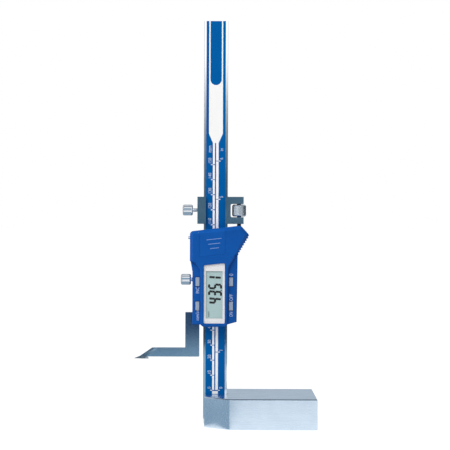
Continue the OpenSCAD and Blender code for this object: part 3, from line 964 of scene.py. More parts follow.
@dataclass
class Beam(SubAssembly):
    """The beam with its scale strip, foil and printed scale."""

    ink: float = 0.015
    zero: float = 22.6
    inch: float = 25.4
    tens: int = 16
    inches: int = 7
    bar_mm: Point2 = (-1.95, -0.62)
    bar_inch: Point2 = (0.2, 1.85)
    bar_top: float = 187.0
    foot_bar: Point2 = (20.2, 22.1)
    line: float = 0.5
    stub: float = 1.25
    numbers_x: Point2 = (-3.9, 3.75)
    number_height: float = 2.15
    number_lift: float = 1.1
    number_squeeze: float = 0.85
    unit_squeeze: float = 0.82
    weight: float = -0.01
    field_x: float = 4.62
    field_gap: float = 0.05
    funnel_top: float = 193.3
    tongue_x: float = 3.75
    tongue_end: float = 225.5
    tongue_steps: int = 20

    @property
    def face(self) -> float:
        """Y of the foil's face."""
        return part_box("scale_foil")[0].y / MM

    def bar(self, x: Point2, out: float, marks: Sequence[float]) -> Solid:
        """A white bar, broken by a thin line at each mark, with a short tick beside each.

        Args:
            x: The bar's left and right edges.
            out: X of the ticks' far ends.
            marks: Heights of the marks.

        Returns:
            The bar and its ticks.
        """
        shape = Solid()
        y = (self.face - self.ink, self.face)
        levels = [self.zero, *[m for m in marks if m > self.zero], self.bar_top]
        for low, high in zip(levels, levels[1:]):
            top = high if high == self.bar_top else high - self.line / 2
            shape.box(x, y, (low + self.line / 2, top))
        side = x[0] if out < x[0] else x[1]
        near, far = sorted((side, out))
        for mark in marks:
            shape.box((near, far), y, (mark - self.line / 2, mark + self.line / 2))
        return shape

    def field(self) -> Solid:
        """The white field at the top, round a blue tongue, with its funnel down to the bars."""
        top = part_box("scale_foil")[1].z / MM - self.field_gap
        hub = self.tongue_end + self.tongue_x
        turns = sweep(math.pi, self.tongue_steps)
        tongue = [(-self.tongue_x * math.cos(a), hub - self.tongue_x * math.sin(a)) for a in turns]
        plan = [
            (self.bar_mm[0], self.bar_top),
            (self.bar_inch[1], self.bar_top),
            (self.field_x, self.funnel_top),
            (self.field_x, top),
            (self.tongue_x, top),
            *reversed(tongue),
            (-self.tongue_x, top),
            (-self.field_x, top),
            (-self.field_x, self.funnel_top),
        ]
        return Solid().prism(plan, self.face - self.ink, self.face)

    def words(self, text: str, height: float, x: float, z: float, end: Place, squeeze: float) -> Solid:
        """A number or a word on the foil, as letters() places it."""
        return letters(text, height, (x, self.face, z), self.ink, end, squeeze, self.weight)

    def figures(self) -> Solid:
        """The numbers beside the marks and the names of the two units."""
        lines = []
        tens, inches = range(0, 10 * self.tens, 10), range(self.inches)
        for x, values, step in ((self.numbers_x[0], tens, 1.0), (self.numbers_x[1], inches, self.inch)):
            for value in values:
                z = self.zero + value * step + self.number_lift
                number = self.words(str(value), self.number_height, x, z, Place.START, self.number_squeeze)
                lines.append(number)
        # Each unit's name, the X and Z of its middle and its height
        units = (("mm", self.numbers_x[0] + 0.25, 183.0, 1.6), ("in", self.numbers_x[1] + 0.1, 182.6, 2.0))
        for word, x, z, height in units:
            lines.append(self.words(word, height, x, z, Place.MIDDLE, self.unit_squeeze))
        return joined(lines)

    def build(self) -> None:
        """Dress the beam and print its scale."""
        self.dress("beam", Finishes.beam)
        self.dress("scale_strip", Finishes.strip)
        self.dress("scale_foil", Finishes.foil)
        marks_mm = [self.zero + 10 * k for k in range(self.tens)]
        marks_inch = [self.zero + self.inch * k for k in range(self.inches)]
        across = (self.bar_mm[0], self.bar_inch[1])
        bars = [
            self.bar(self.bar_mm, self.bar_mm[0] - self.stub, marks_mm),
            self.bar(self.bar_inch, self.bar_inch[1] + self.stub, marks_inch),
            Solid().box(across, (self.face - self.ink, self.face), self.foot_bar),
        ]
        self.place("scale_bars", joined(bars), Finishes.white, "root")
        self.place("scale_field", self.field(), Finishes.white, "root")
        self.place("scale_figures", self.figures(), Finishes.figures, "root")


def thread_radius(crest: float, depth: float, along: float, turn: float) -> float:
    """Radius of a screw thread at one point.

    Args:
        crest: Radius of the thread's crest.
        depth: Depth of the thread.
        along: Distance along the screw.
        turn: Angle round the screw, in radians.

    Returns:
        The radius there.
    """
    phase = (along / THREAD_PITCH - turn / (2 * math.pi)) % 1.0
    return crest - depth * (1 - abs(2 * phase - 1))


@dataclass
class ThumbScrew:
    """A thumb screw with a six-lobed head, that lies along X with its head to the left."""

    shoulder: float
    tip: float
    z: float
    shank: float
    head: float = 3.6
    length: float = 6.7
    lobes: int = 6
    flute: float = 0.85
    flute_shape: float = 1.7
    bullnose: float = 1.0
    dish: float = 0.35
    dish_step: float = 0.2
    dish_rims: Point2 = (2.1, 1.7)
    neck: float = 0.86
    neck_length: float = 0.5
    thread_depth: float = 0.26
    thread_end: float = 0.4
    point: Point2 = (0.35, 0.3)
    point_end: float = 0.45
    around: int = 96

    @classmethod
    def standing_for(cls, node: str, shank: float) -> "ThumbScrew":
        """The thumb screw that takes a CAD node's place, to the node's own length.

        Args:
            node: The CAD node.
            shank: Radius of the thread.

        Returns:
            The screw.
        """
        low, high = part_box(node)
        return cls(low.x / MM + cls.length, high.x / MM, 0.5 * (low.z + high.z) / MM, shank)

    def ring(self, x: float, radius: Callable[[float], float]) -> Ring:
        """One ring of points round the screw.

        Args:
            x: X of the ring.
            radius: Radius at each angle.

        Returns:
            The ring's points.
        """
        turns = full_turn(self.around)
        return [(x, radius(a) * math.cos(a), self.z + radius(a) * math.sin(a)) for a in turns]

    def star(self, shrink: float) -> Callable[[float], float]:
        """Radius of the lobed head at each angle.

        Args:
            shrink: How much smaller than the head it is.

        Returns:
            A function of the angle.
        """

        def at(a: float) -> float:
            """Radius at an angle."""
            wave = 0.5 + 0.5 * math.cos(self.lobes * a)
            return self.head - shrink - self.flute * wave**self.flute_shape

        return at

    def nose(self, side: int) -> list[Ring]:
        """One of the head's two rounded edges, from its flat face inward.

        Args:
            side: 1 for the edge at the head's end, -1 for the one at the shoulder.

        Returns:
            The edge's rings.
        """
        start = self.shoulder - self.length if side > 0 else self.shoulder
        rings = []
        for a in sweep(math.pi / 2, ARC_STEPS):
            inset, step = self.bullnose * (1 - math.sin(a)), self.bullnose * (1 - math.cos(a))
            rings.append(self.ring(start + side * step, self.star(inset)))
        return rings

    def solid(self) -> Solid:
        """The whole screw: dished end, lobed head with rounded ends, and threaded shank."""
        end = self.shoulder - self.length
        rings = [
            self.ring(end + self.dish, self.star(self.dish_rims[0])),
            self.ring(end + self.dish * self.dish_step, self.star(self.dish_rims[1])),
            *self.nose(1),
            *reversed(self.nose(-1)),
        ]
        start, stop = self.shoulder + self.neck_length, self.tip - self.thread_end
        rings += [self.ring(x, lambda a: self.shank * self.neck) for x in (self.shoulder, start)]
        steps = int((stop - start) / (THREAD_PITCH / THREAD_RINGS))
        for k in range(1, steps):
            x = start + (stop - start) * k / steps
            rings.append(self.ring(x, lambda a, x=x: thread_radius(self.shank, self.thread_depth, x, a)))
        rings.append(self.ring(self.tip - self.point[0], lambda a: self.shank - self.point[1]))
        rings.append(self.ring(self.tip, lambda a: self.shank - self.point_end))
        return Solid().loft(rings)


@dataclass
class CarriageFrame(SubAssembly):
    """The carriage's steel frame with the scriber, its tip, gib and screws."""

    def build(self) -> None:
        """Dress the frame and make the lock screw."""
        self.dress("slide_frame", Finishes.scriber, edge=0.14, facets=1)
        self.dress("scriber_tip", Finishes.carbide, edge=0.05)
        self.dress("gib_screws", Finishes.chrome, edge=0.1)
        self.dress("slide_gib", Finishes.brass, edge=0.08)
        screw = ThumbScrew.standing_for("lock_screw", shank=1.5).solid()
        self.place("lock_thumb_screw", screw, Finishes.chrome, "lock_screw", "lock_screw", sharp=50)


class Segment(Enum):
    """The strokes of the reading's digits, as ends in a cell that is one wide and two high."""

    TOP = ((0.0, 2.0), (1.0, 2.0))
    UPPER_LEFT = ((0.0, 1.0), (0.0, 2.0))
    UPPER_RIGHT = ((1.0, 1.0), (1.0, 2.0))
    MIDDLE = ((0.0, 1.0), (1.0, 1.0))
    LOWER_RIGHT = ((1.0, 0.0), (1.0, 1.0))
    BOTTOM = ((0.0, 0.0), (1.0, 0.0))


@dataclass
class Display(SubAssembly):
    """The display and the board behind it."""

    reading: str = "4351"
    top_x: float = -4.75
    base_x: float = 4.5
    stroke: float = 1.42
    stroke_gap: float = 0.1
    bevel: float = 0.2
    width: float = 2.6
    slant: float = 0.5
    pitch: float = 4.7
    first: float = 17.1
    dot: float = 0.42
    dot_step: float = 0.1
    unit_height: float = 1.1
    unit_at: Point2 = (-4.25, 8.3)
    ink: float = 0.02

    DIGITS = {
        "4": (Segment.UPPER_LEFT, Segment.MIDDLE, Segment.UPPER_RIGHT, Segment.LOWER_RIGHT),
        "3": (Segment.TOP, Segment.MIDDLE, Segment.BOTTOM, Segment.UPPER_RIGHT, Segment.LOWER_RIGHT),
        "5": (Segment.TOP, Segment.UPPER_LEFT, Segment.MIDDLE, Segment.LOWER_RIGHT, Segment.BOTTOM),
        "1": (Segment.UPPER_RIGHT, Segment.LOWER_RIGHT),
    }

    def spot(self, across: float, up: float, middle: float) -> Point2:
        """Where a point of a digit lies on the display.

        Args:
            across: How far right in the digit's cell, from 0 to 1.
            up: How far up in the cell, from 0 to 2.
            middle: Height of the digit's middle on the carriage.

        Returns:
            Its X and Z.
        """
        half = self.stroke / 2
        x = self.base_x - half + (self.top_x - self.base_x + 2 * half) * up / 2
        return x, middle + (across - 0.5) * self.width + self.slant * (up - 1) / 2

    def digit(self, name: str, middle: float, y: float) -> Solid:
        """One digit of the reading, which reads upward.

        Args:
            name: The digit.
            middle: Height of its middle on the carriage.
            y: Y of its back face.

        Returns:
            Its strokes.
        """
        shape, half = Solid(), self.stroke / 2
        for segment in self.DIGITS[name]:
            a, b = (Vector(self.spot(*end, middle)) for end in segment.value)
            along = (b - a).normalized()
            side = left_of(along) * half
            a, b = a + along * self.stroke_gap, b - along * self.stroke_gap
            near, far = a + along * self.bevel, b - along * self.bevel
            shape.prism([a, near + side, far + side, b, far - side, near - side], y - self.ink, y)
        return shape

    def build(self) -> None:
        """Dress the display's pieces and write the reading on it."""
        self.dress("sensor_board", Finishes.board, edge=0.05)
        self.dress("controller_chip", Finishes.resin, edge=0.3)
        self.dress("key_switches", Finishes.switch, edge=0.1)
        self.dress("display_cell", Finishes.glass, edge=0.05)
        self.dress("display_reflector", Finishes.reflector)
        self.dress("display_holder", Finishes.holder, edge=0.05)
        self.dress("contact_rubbers", Finishes.rubber, edge=0.05)
        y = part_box("display_cell")[0].y / MM
        shapes = [self.digit(d, self.first + self.pitch * k, y) for k, d in enumerate(self.reading)]
        x, z = self.spot(0.5, 0.0, self.first + self.pitch * 1.5)
        shapes.append(Solid().rod_y(self.dot, (y - self.ink, y), x + self.dot_step, z, sides=16))
        self.place("display_reading", joined(shapes).raised(self.lift), Finishes.segment, "carriage")
        place = (self.unit_at[0], y, self.unit_at[1])
        units = letters("mm", self.unit_height, place, self.ink, Place.MIDDLE)
        self.place("display_units", units.raised(self.lift), Finishes.unit_mark, "carriage")


@dataclass
class Housing(SubAssembly):
    """The moulded housing, its window, keys, legends and battery compartment."""

    front: float = -10.5
    flank: float = -8.5
    rim: float = -2.0
    seat: float = -3.1
    wall: float = 1.3
    edge: float = 2.0
    slope: float = 0.118
    round_steps: int = 6
    roundness: float = 1.8
    screw_x: Point2 = (-11.2, 10.4)
    screw_z: Point2 = (7.8, 46.8)
    boss: float = 1.9
    pilot: float = 0.85
    pilot_depth: float = 4.5
    window_depth: float = 0.85
    window_ledge: float = 0.6
    window_flare: float = 0.08
    lens_front: float = 0.05
    lens_back: float = 0.8
    frame_insets: Point2 = (0.1, 0.75)
    frame_gap: float = 0.005
    key_x: Point2 = (-11.75, 10.4)
    key_z: Point2 = (13.6, 29.6)
    key_size: Point2 = (2.6, 5.7)
    key_round: float = 0.25
    key_play: float = 0.08
    key_flare: float = 0.16
    key_depth: float = 2.0
    # Inner and outer reach of the painted shadow band beyond each key's edge
    key_rim: Point2 = (0.22, 0.5)
    legend_weight: float = -0.008
    cover_x: Point2 = (-10.4, 6.4)
    cover_z: float = 46.0
    cover_top: float = 90.0
    cover_round: float = 0.3
    cover_thickness: float = 1.2
    cover_play: float = 0.06
    print_height: float = 0.42
    print_ink: float = 0.015
    tongue: float = 0.75
    tongue_thickness: float = 0.6
    tongue_play: float = 0.05
    thumb_edge: tuple[Point2, Point2] = ((14.7, 46.9), (22.6, 60.2))
    grooves: int = 8
    groove: float = 0.75
    groove_share: float = 0.36
    groove_inset: float = 0.12
    groove_start: float = 0.9
    groove_margins: float = 1.3
    groove_mouth: float = 0.6
    ink: float = 0.02

    # How far behind the lens's face and how far inward each ring of its rounded edge lies
    LENS_EDGE = ((0.0, 0.25), (0.06, 0.12), (0.2, 0.05))
    # How far the bars of the painted shadow round a key stay apart
    HAIR = 0.001
    # How far a cutter reaches past a face, and a boss into its wall
    PAST = 1
    BITE = 0.02

    @property
    def raised_corners(self) -> list[Corner]:
        """Corners of the raised form: the spine with the display, and the wide head."""
        return [
            Corner(-8.0, 0.0, 0.9, 0.8, 0.8),
            Corner(6.95, 0.0, 0.9, 0.8, 0.8),
            Corner(8.0, 1.5, 0.4, 0.8, 0.8),
            Corner(8.85, 39.2, 4.0, 0.8, 0.8),
            Corner(13.15, 46.9, 0.8, 0.8, 0.0),
            Corner(*self.thumb_edge[0], 0.6, 0.0, 1.9),
            Corner(*self.thumb_edge[1], 2.4, 3.0, 2.2),
            Corner(16.7, 66.65, 2.6, 2.0, 2.4),
            Corner(-16.8, 66.6 - 32.8 * self.slope, 2.3, 2.4, 2.0),
            Corner(-16.8, 43.1, 0.6, 2.0, 0.0),
            Corner(-14.1, 42.7, 3.5, 0.0, 0.8),
            Corner(-9.9, 37.4, 4.0, 0.8, 0.8),
            Corner(-9.65, 1.3, 0.4, 0.8, 0.8),
        ]

    @property
    def flank_corners(self) -> list[Corner]:
        """Corners of the lower form that carries the keys."""
        return [
            Corner(-15.1, 1.3, 0.5, 0.6, 0.6),
            Corner(7.84, 1.35, 0.4, 0.6, 0.6),
            Corner(14.15, 3.1, 0.5, 0.6, 0.6),
            Corner(14.7, 48.0, 0.4, 0.6, 0.0),
            Corner(13.0, 50.2, 0.4),
            Corner(-14.0, 50.0, 0.4),
            Corner(-16.5, 44.0, 0.4, 0.0, 0.6),
            Corner(-15.1, 36.1, 2.0, 0.6, 0.6),
        ]

    @property
    def window_corners(self) -> list[Corner]:
        """Corners of the display window."""
        return [
            Corner(-7.65, 2.1, 0.8),
            Corner(6.35, 2.1, 0.8),
            Corner(6.35, 40.4 + 13.7 * self.slope, 0.8),
            Corner(-7.65, 40.45, 0.8),
        ]

    @property
    def view_corners(self) -> list[Corner]:
        """Corners of the clear part of the window."""
        return [Corner(x, z, 0.1) for x, z in ((-6.2, 5.5), (4.8, 5.5), (4.8, 36.6), (-6.2, 36.6))]

    def ring(self, corners: Sequence[Corner], y: float, inset: float = 0.0) -> Ring:
        """An outline as a ring at one level.

        Args:
            corners: The outline's corners.
            y: The level.
            inset: How far it is moved inward.

        Returns:
            The ring's points.
        """
        return [(p.x, y, p.y) for p in outline(corners, inset)]

    def form(self, corners: Sequence[Corner], face: float) -> Solid:
        """A solid form with a rounded front edge.

        Args:
            corners: Its outline.
            face: Y of its front face.

        Returns:
            The form.
        """
        heights = edge_heights(corners, self.edge)
        rings = []
        for a in sweep(math.pi / 2, self.round_steps):
            across, down = 1 - math.sin(a) ** self.roundness, 1 - math.cos(a) ** self.roundness
            points = zip(outline(corners, 0.0, across), heights)
            rings.append([(p.x, face + h * down, p.y) for p, h in points])
        rings.append(self.ring(corners, self.rim))
        return Solid().loft(rings)

    def pocket(
        self, corners: Sequence[Corner], face: float, back: float, flare: float, inset: float = 0.0
    ) -> Solid:
        """A cutter that opens a little wider at the face.

        Args:
            corners: The opening's outline.
            face: Y of the face that it opens.
            back: Y of the opening's floor.
            flare: Width of the chamfer round the opening.
            inset: How far the outline is moved inward.

        Returns:
            The cutter.
        """
        return Solid().loft([
            self.ring(corners, face - self.PAST, inset - flare - self.PAST),
            self.ring(corners, face + flare, inset),
            self.ring(corners, back, inset),
        ])

    def hollow(self, corners: Sequence[Corner], face: float) -> Solid:
        """A cutter that leaves one wall's thickness inside a form.

        Args:
            corners: The form's outline.
            face: Y of the form's front face.

        Returns:
            The cutter.
        """
        return Solid().prism(outline(corners, self.wall), face + self.wall, 0.0)

    def key_corners(self, x: float, z: float, play: float) -> list[Corner]:
        """Outline of a key's opening.

        Args:
            x: X of the key's middle.
            z: Z of the key's middle.
            play: Gap round the key.

        Returns:
            The opening's corners.
        """
        w, h = self.key_size[0] / 2 + play, self.key_size[1] / 2 + play
        ways = ((-1, -1), (1, -1), (1, 1), (-1, 1))
        return [Corner(x + i * w, z + j * h, self.key_round) for i, j in ways]

    def cover_corners(self, wider: float, lower: float) -> list[Corner]:
        """Outline of the battery cover, open upward.

        Args:
            wider: How much wider than the cover it is on each side.
            lower: How much lower.

        Returns:
            The outline's corners.
        """
        x0, x1 = self.cover_x[0] - wider, self.cover_x[1] + wider
        z0, z1 = self.cover_z - lower, self.cover_top
        spots = ((x0, z0), (x1, z0 + (x1 - x0) * self.slope), (x1, z1), (x0, z1))
        return [Corner(x, z, self.cover_round) for x, z in spots]

    def grip(self) -> Solid:
        """Cutters for the round grip grooves along the slanted thumb edge."""
        start, end = (Vector(point) for point in self.thumb_edge)
        along = (end - start).normalized()
        side = left_of(along)
        pitch = ((end - start).length - self.groove_margins) / self.grooves
        reach = pitch * self.groove_share
        shape = Solid()
        for k in range(self.grooves):
            hub = start + along * (self.groove_start + pitch * (k + 0.5)) - side * self.groove_inset
            plan = [
                hub + along * (reach * math.cos(a)) + side * (self.groove * math.sin(a))
                for a in sweep(math.pi, 10)
            ]
            plan += [hub + along * (reach * way) - side * self.groove_mouth for way in (-1, 1)]
            shape.prism(plan, self.front - self.PAST, self.rim + self.PAST)
        return shape

    def shell(self) -> bpy.types.Mesh:
        """The housing's moulding."""
        bosses, pilots, keys = Solid(), Solid(), []
        for x in self.screw_x:
            for z, floor in zip(self.screw_z, (self.flank, self.front)):
                bosses.rod_y(self.boss, (floor + self.wall - self.BITE, self.seat), x, z)
                pilots.rod_y(self.pilot, (self.seat - self.pilot_depth, 0.0), x, z, sides=24)
        for x in self.key_x:
            for z in self.key_z:
                opening = self.key_corners(x, z, self.key_play)
                keys.append(self.pocket(opening, self.flank, self.flank + self.key_depth, self.key_flare))
        floor = self.front + self.wall + self.BITE / 2
        rails = self.cover_corners(self.tongue + self.tongue_play, self.tongue_play)
        rail_front = self.front + self.cover_thickness - self.tongue_thickness - self.tongue_play
        recess = self.front + self.window_depth
        opening = self.cover_corners(self.cover_play, self.cover_play)
        steps = [
            (Carving.JOIN, self.form(self.flank_corners, self.flank)),
            (Carving.CUT, self.hollow(self.raised_corners, self.front)),
            (Carving.CUT, self.hollow(self.flank_corners, self.flank)),
            (Carving.JOIN, bosses),
            (Carving.CUT, self.pocket(self.window_corners, self.front, recess, self.window_flare)),
            (Carving.CUT, self.pocket(self.window_corners, self.front, 0.0, 0.0, self.window_ledge)),
            (Carving.CUT, joined(keys)),
            (Carving.CUT, pilots),
            (Carving.CUT, self.pocket(opening, self.front, floor, self.cover_play)),
            (Carving.CUT, Solid().prism(outline(rails), rail_front, floor)),
            (Carving.CUT, self.grip()),
        ]
        return carved("housing_shell", self.form(self.raised_corners, self.front), steps)

    def cover(self) -> bpy.types.Mesh:
        """The sliding battery cover, with its tongues."""
        back = self.front + self.cover_thickness
        edge = self.cover_corners(0.0, 0.0)
        plate = Solid().loft([
            self.ring(edge, self.front - self.PAST, self.PAST + self.cover_play),
            self.ring(edge, self.front + self.cover_play),
            self.ring(edge, back),
        ])
        wide = outline(self.cover_corners(self.tongue, 0.0))
        tongues = Solid().prism(wide, back - self.tongue_thickness, back)
        plan = carved("cover_plan", plate, [(Carving.JOIN, tongues)])
        points = [tuple(c / MM for c in v.co) for v in plan.vertices]
        faces = [tuple(p.vertices) for p in plan.polygons]
        bpy.data.meshes.remove(plan)
        inside = [(Carving.KEEP, Solid(points, faces))]
        return carved("cover_plate", self.form(self.raised_corners, self.front), inside)

    def print_ring(self, outer: Ring, inner: Ring, y: float) -> Solid:
        """A thin printed frame between two rings behind the window.

        Args:
            outer: Its outer outline, at any level.
            inner: Its inner outline, at any level.
            y: Y of its front.

        Returns:
            The printed frame.
        """
        back = y + self.ink
        levels = ((outer, y), (outer, back), (inner, back), (inner, y))
        return Solid().loft([[(p[0], level, p[2]) for p in ring] for ring, level in levels], ends=False)

    def window(self) -> None:
        """Make the clear window and the frame printed behind it."""
        face, back = self.front + self.lens_front, self.front + self.lens_back
        rings = [self.ring(self.window_corners, face + down, inset) for down, inset in self.LENS_EDGE]
        rings.append(self.ring(self.window_corners, back, self.LENS_EDGE[-1][1]))
        lens = Solid().loft(rings).raised(self.lift)
        self.place("window_lens", lens, Finishes.lens, "carriage", "window")
        outer, middle = (self.ring(self.window_corners, 0.0, inset) for inset in self.frame_insets)
        inner = self.ring(self.view_corners, 0.0)
        rim = self.print_ring(outer, middle, back + self.frame_gap).raised(self.lift)
        mask = self.print_ring(middle, inner, back + self.frame_gap).raised(self.lift)
        self.place("window_rim", rim, Finishes.rim, "carriage")
        self.place("window_mask", mask, Finishes.mask, "carriage")

    def legends(self) -> None:
        """Print the plain words beside the keys."""
        # Each word, its height, the X and Z of its middle and its squeeze
        words = (
            ("INC", 2.2, self.key_x[0] + 0.05, 24.0, 0.78),
            ("mm/in", 2.3, self.key_x[0] - 0.05, 7.45, 0.8),
            ("0", 2.5, self.key_x[1], 34.25, 0.8),
            ("OFF", 2.2, self.key_x[1], 19.3, 0.8),
            ("ON", 2.1, self.key_x[1], 8.15, 0.68),
        )
        lines = [
            letters(word, height, (x, self.flank, z), self.ink, Place.MIDDLE, squeeze, self.legend_weight)
            for word, height, x, z, squeeze in words
        ]
        self.place("key_legends", joined(lines).raised(self.lift), Finishes.legend, "carriage")

    def key_rims(self) -> None:
        """Paint the shade of the gap round each key's opening as a dark band."""
        shape = Solid()
        y = (self.flank - self.ink, self.flank)
        near, far = ([side / 2 + step for side in self.key_size] for step in self.key_rim)
        for x in self.key_x:
            for z in self.key_z:
                for end in (-1, 1):
                    low, high = sorted((z + end * near[1], z + end * far[1]))
                    shape.box((x - far[0], x + far[0]), y, (low, high))
                    low, high = sorted((x + end * near[0], x + end * far[0]))
                    shape.box((low, high), y, (z - near[1] + self.HAIR, z + near[1] - self.HAIR))
        self.place("key_rims", shape.raised(self.lift), Finishes.rims, "carriage")

    def cover_lines(self) -> None:
        """Print three plain slanted lines on the battery cover, where the photograph has small print."""
        shape, height = Solid(), self.print_height
        # Each line's left and right end, and Z of its left end
        for x0, x1, z in ((-5.9, 3.9, 56.9), (-4.7, 3.2, 54.05), (-3.5, 2.3, 51.2)):
            rise = (x1 - x0) * self.slope
            plan = [(x0, z), (x1, z + rise), (x1, z + rise + height), (x0, z + height)]
            shape.prism(plan, self.front - self.print_ink, self.front)
        self.place("cover_print", shape.raised(self.lift), Finishes.lines, "battery_cover")

    def build(self) -> None:
        """Make the housing, its cover and window, and dress the pieces in it."""
        moulded = (
            ("housing_moulding", self.shell(), Finishes.housing, "carriage", "housing"),
            ("battery_cover_plate", self.cover(), Finishes.cover, "battery_cover", "battery_cover"),
        )
        for name, mesh, finish, body, node in moulded:
            mesh.transform(Matrix.Translation((0, 0, self.lift * MM)))
            self.place(name, mesh, finish, body, node, sharp=30)
        self.window()
        self.legends()
        self.key_rims()
        self.cover_lines()
        for key in ("key_inc", "key_units", "key_zero", "key_power"):
            self.dress(key, Finishes.key, edge=0.3)
        self.dress("housing_screws", Finishes.black, edge=0.06)
        self.dress("battery_tray", Finishes.tray, edge=0.1)
        self.dress("coin_cell", Finishes.cell_can, edge=0.3)
        self.dress("contact_minus", Finishes.contact, edge=0.04)
        self.dress("contact_plus", Finishes.contact, edge=0.04)


@dataclass
class FineAdjustment(SubAssembly):
    """The clamp block, its screw and gib, and the knurled nut on the threaded rod."""

    teeth: int = 38
    knurl: float = 0.15
    knurl_pitch: float = 1.05
    knurl_steepness: float = 1.5
    per_tooth: int = 8
    bore: float = 1.56
    chamfer: float = 0.85
    chamfer_rise: float = 1.1
    thread_depth: float = 0.27
    rod_chamfer: float = 0.4
    rod_sides: int = 32

    def nut(self) -> Solid:
        """The nut with its diamond knurl, chamfered ends and bore."""
        low, high = (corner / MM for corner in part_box("fine_nut"))
        x, radius = 0.5 * (low.x + high.x), 0.5 * (high.x - low.x)
        height = high.z - low.z
        turns = full_turn(self.teeth * self.per_tooth)
        levels = int(height / (self.knurl_pitch / self.per_tooth))

        def ring(z: float, at: Callable[[float], float]) -> Ring:
            """A ring of points round the nut."""
            return [(x + at(a) * math.cos(a), at(a) * math.sin(a), z) for a in turns]

        def knurled(z: float) -> Callable[[float], float]:
            """Radius of the knurl at a height.

            Args:
                z: The height.

            Returns:
                A function of the angle.
            """
            room = min(z - low.z, high.z - z)
            limit = radius - self.chamfer + room * self.chamfer_rise

            def at(a: float) -> float:
                """Radius at an angle.

                Args:
                    a: The angle, in radians.

                Returns:
                    The radius.
                """
                tooth = a * self.teeth / (2 * math.pi)
                turn = (z - low.z) / self.knurl_pitch
                waves = [abs(2 * ((tooth + turn * s) % 1.0) - 1) for s in (1, -1)]
                depth = self.knurl * (1 - min(1.0, self.knurl_steepness * min(waves)))
                return min(radius - depth, limit)

            return at

        heights = [low.z + height * k / levels for k in range(levels + 1)]
        rings = [ring(low.z, lambda a: self.bore)]
        rings += [ring(z, knurled(z)) for z in heights]
        rings.append(ring(high.z, lambda a: self.bore))
        return Solid().loft(rings, ends=False)

    def rod(self) -> Solid:
        """The adjusting rod with its screw thread."""
        low, high = (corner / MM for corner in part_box("adjusting_rod"))
        x, radius = 0.5 * (low.x + high.x), 0.5 * (high.x - low.x)
        turns = full_turn(self.rod_sides)
        steps = int((high.z - low.z) / (THREAD_PITCH / THREAD_RINGS))
        rings = []
        for k in range(steps + 1):
            z = low.z + (high.z - low.z) * k / steps
            limit = radius - self.rod_chamfer + min(z - low.z, high.z - z)
            at = [min(thread_radius(radius, self.thread_depth, z, a), limit) for a in turns]
            rings.append([(x + r * math.cos(a), r * math.sin(a), z) for r, a in zip(at, turns)])
        return Solid().loft(rings)

    def build(self) -> None:
        """Dress the clamp block and make the nut, rod and clamp screw."""
        self.dress("clamp_block", Finishes.block, edge=0.2, facets=1)
        self.dress("clamp_gib", Finishes.brass, edge=0.08)
        self.dress("rod_nut", Finishes.black, edge=0.1)
        self.place("knurled_nut", self.nut(), Finishes.nut, "fine_nut", "fine_nut", sharp=60)
        self.place("threaded_rod", self.rod(), Finishes.black, "carriage", "adjusting_rod", sharp=60)
        screw = ThumbScrew.standing_for("clamp_screw", shank=1.25).solid()
        self.place("clamp_thumb_screw", screw, Finishes.chrome, "clamp_screw", "clamp_screw", sharp=50)


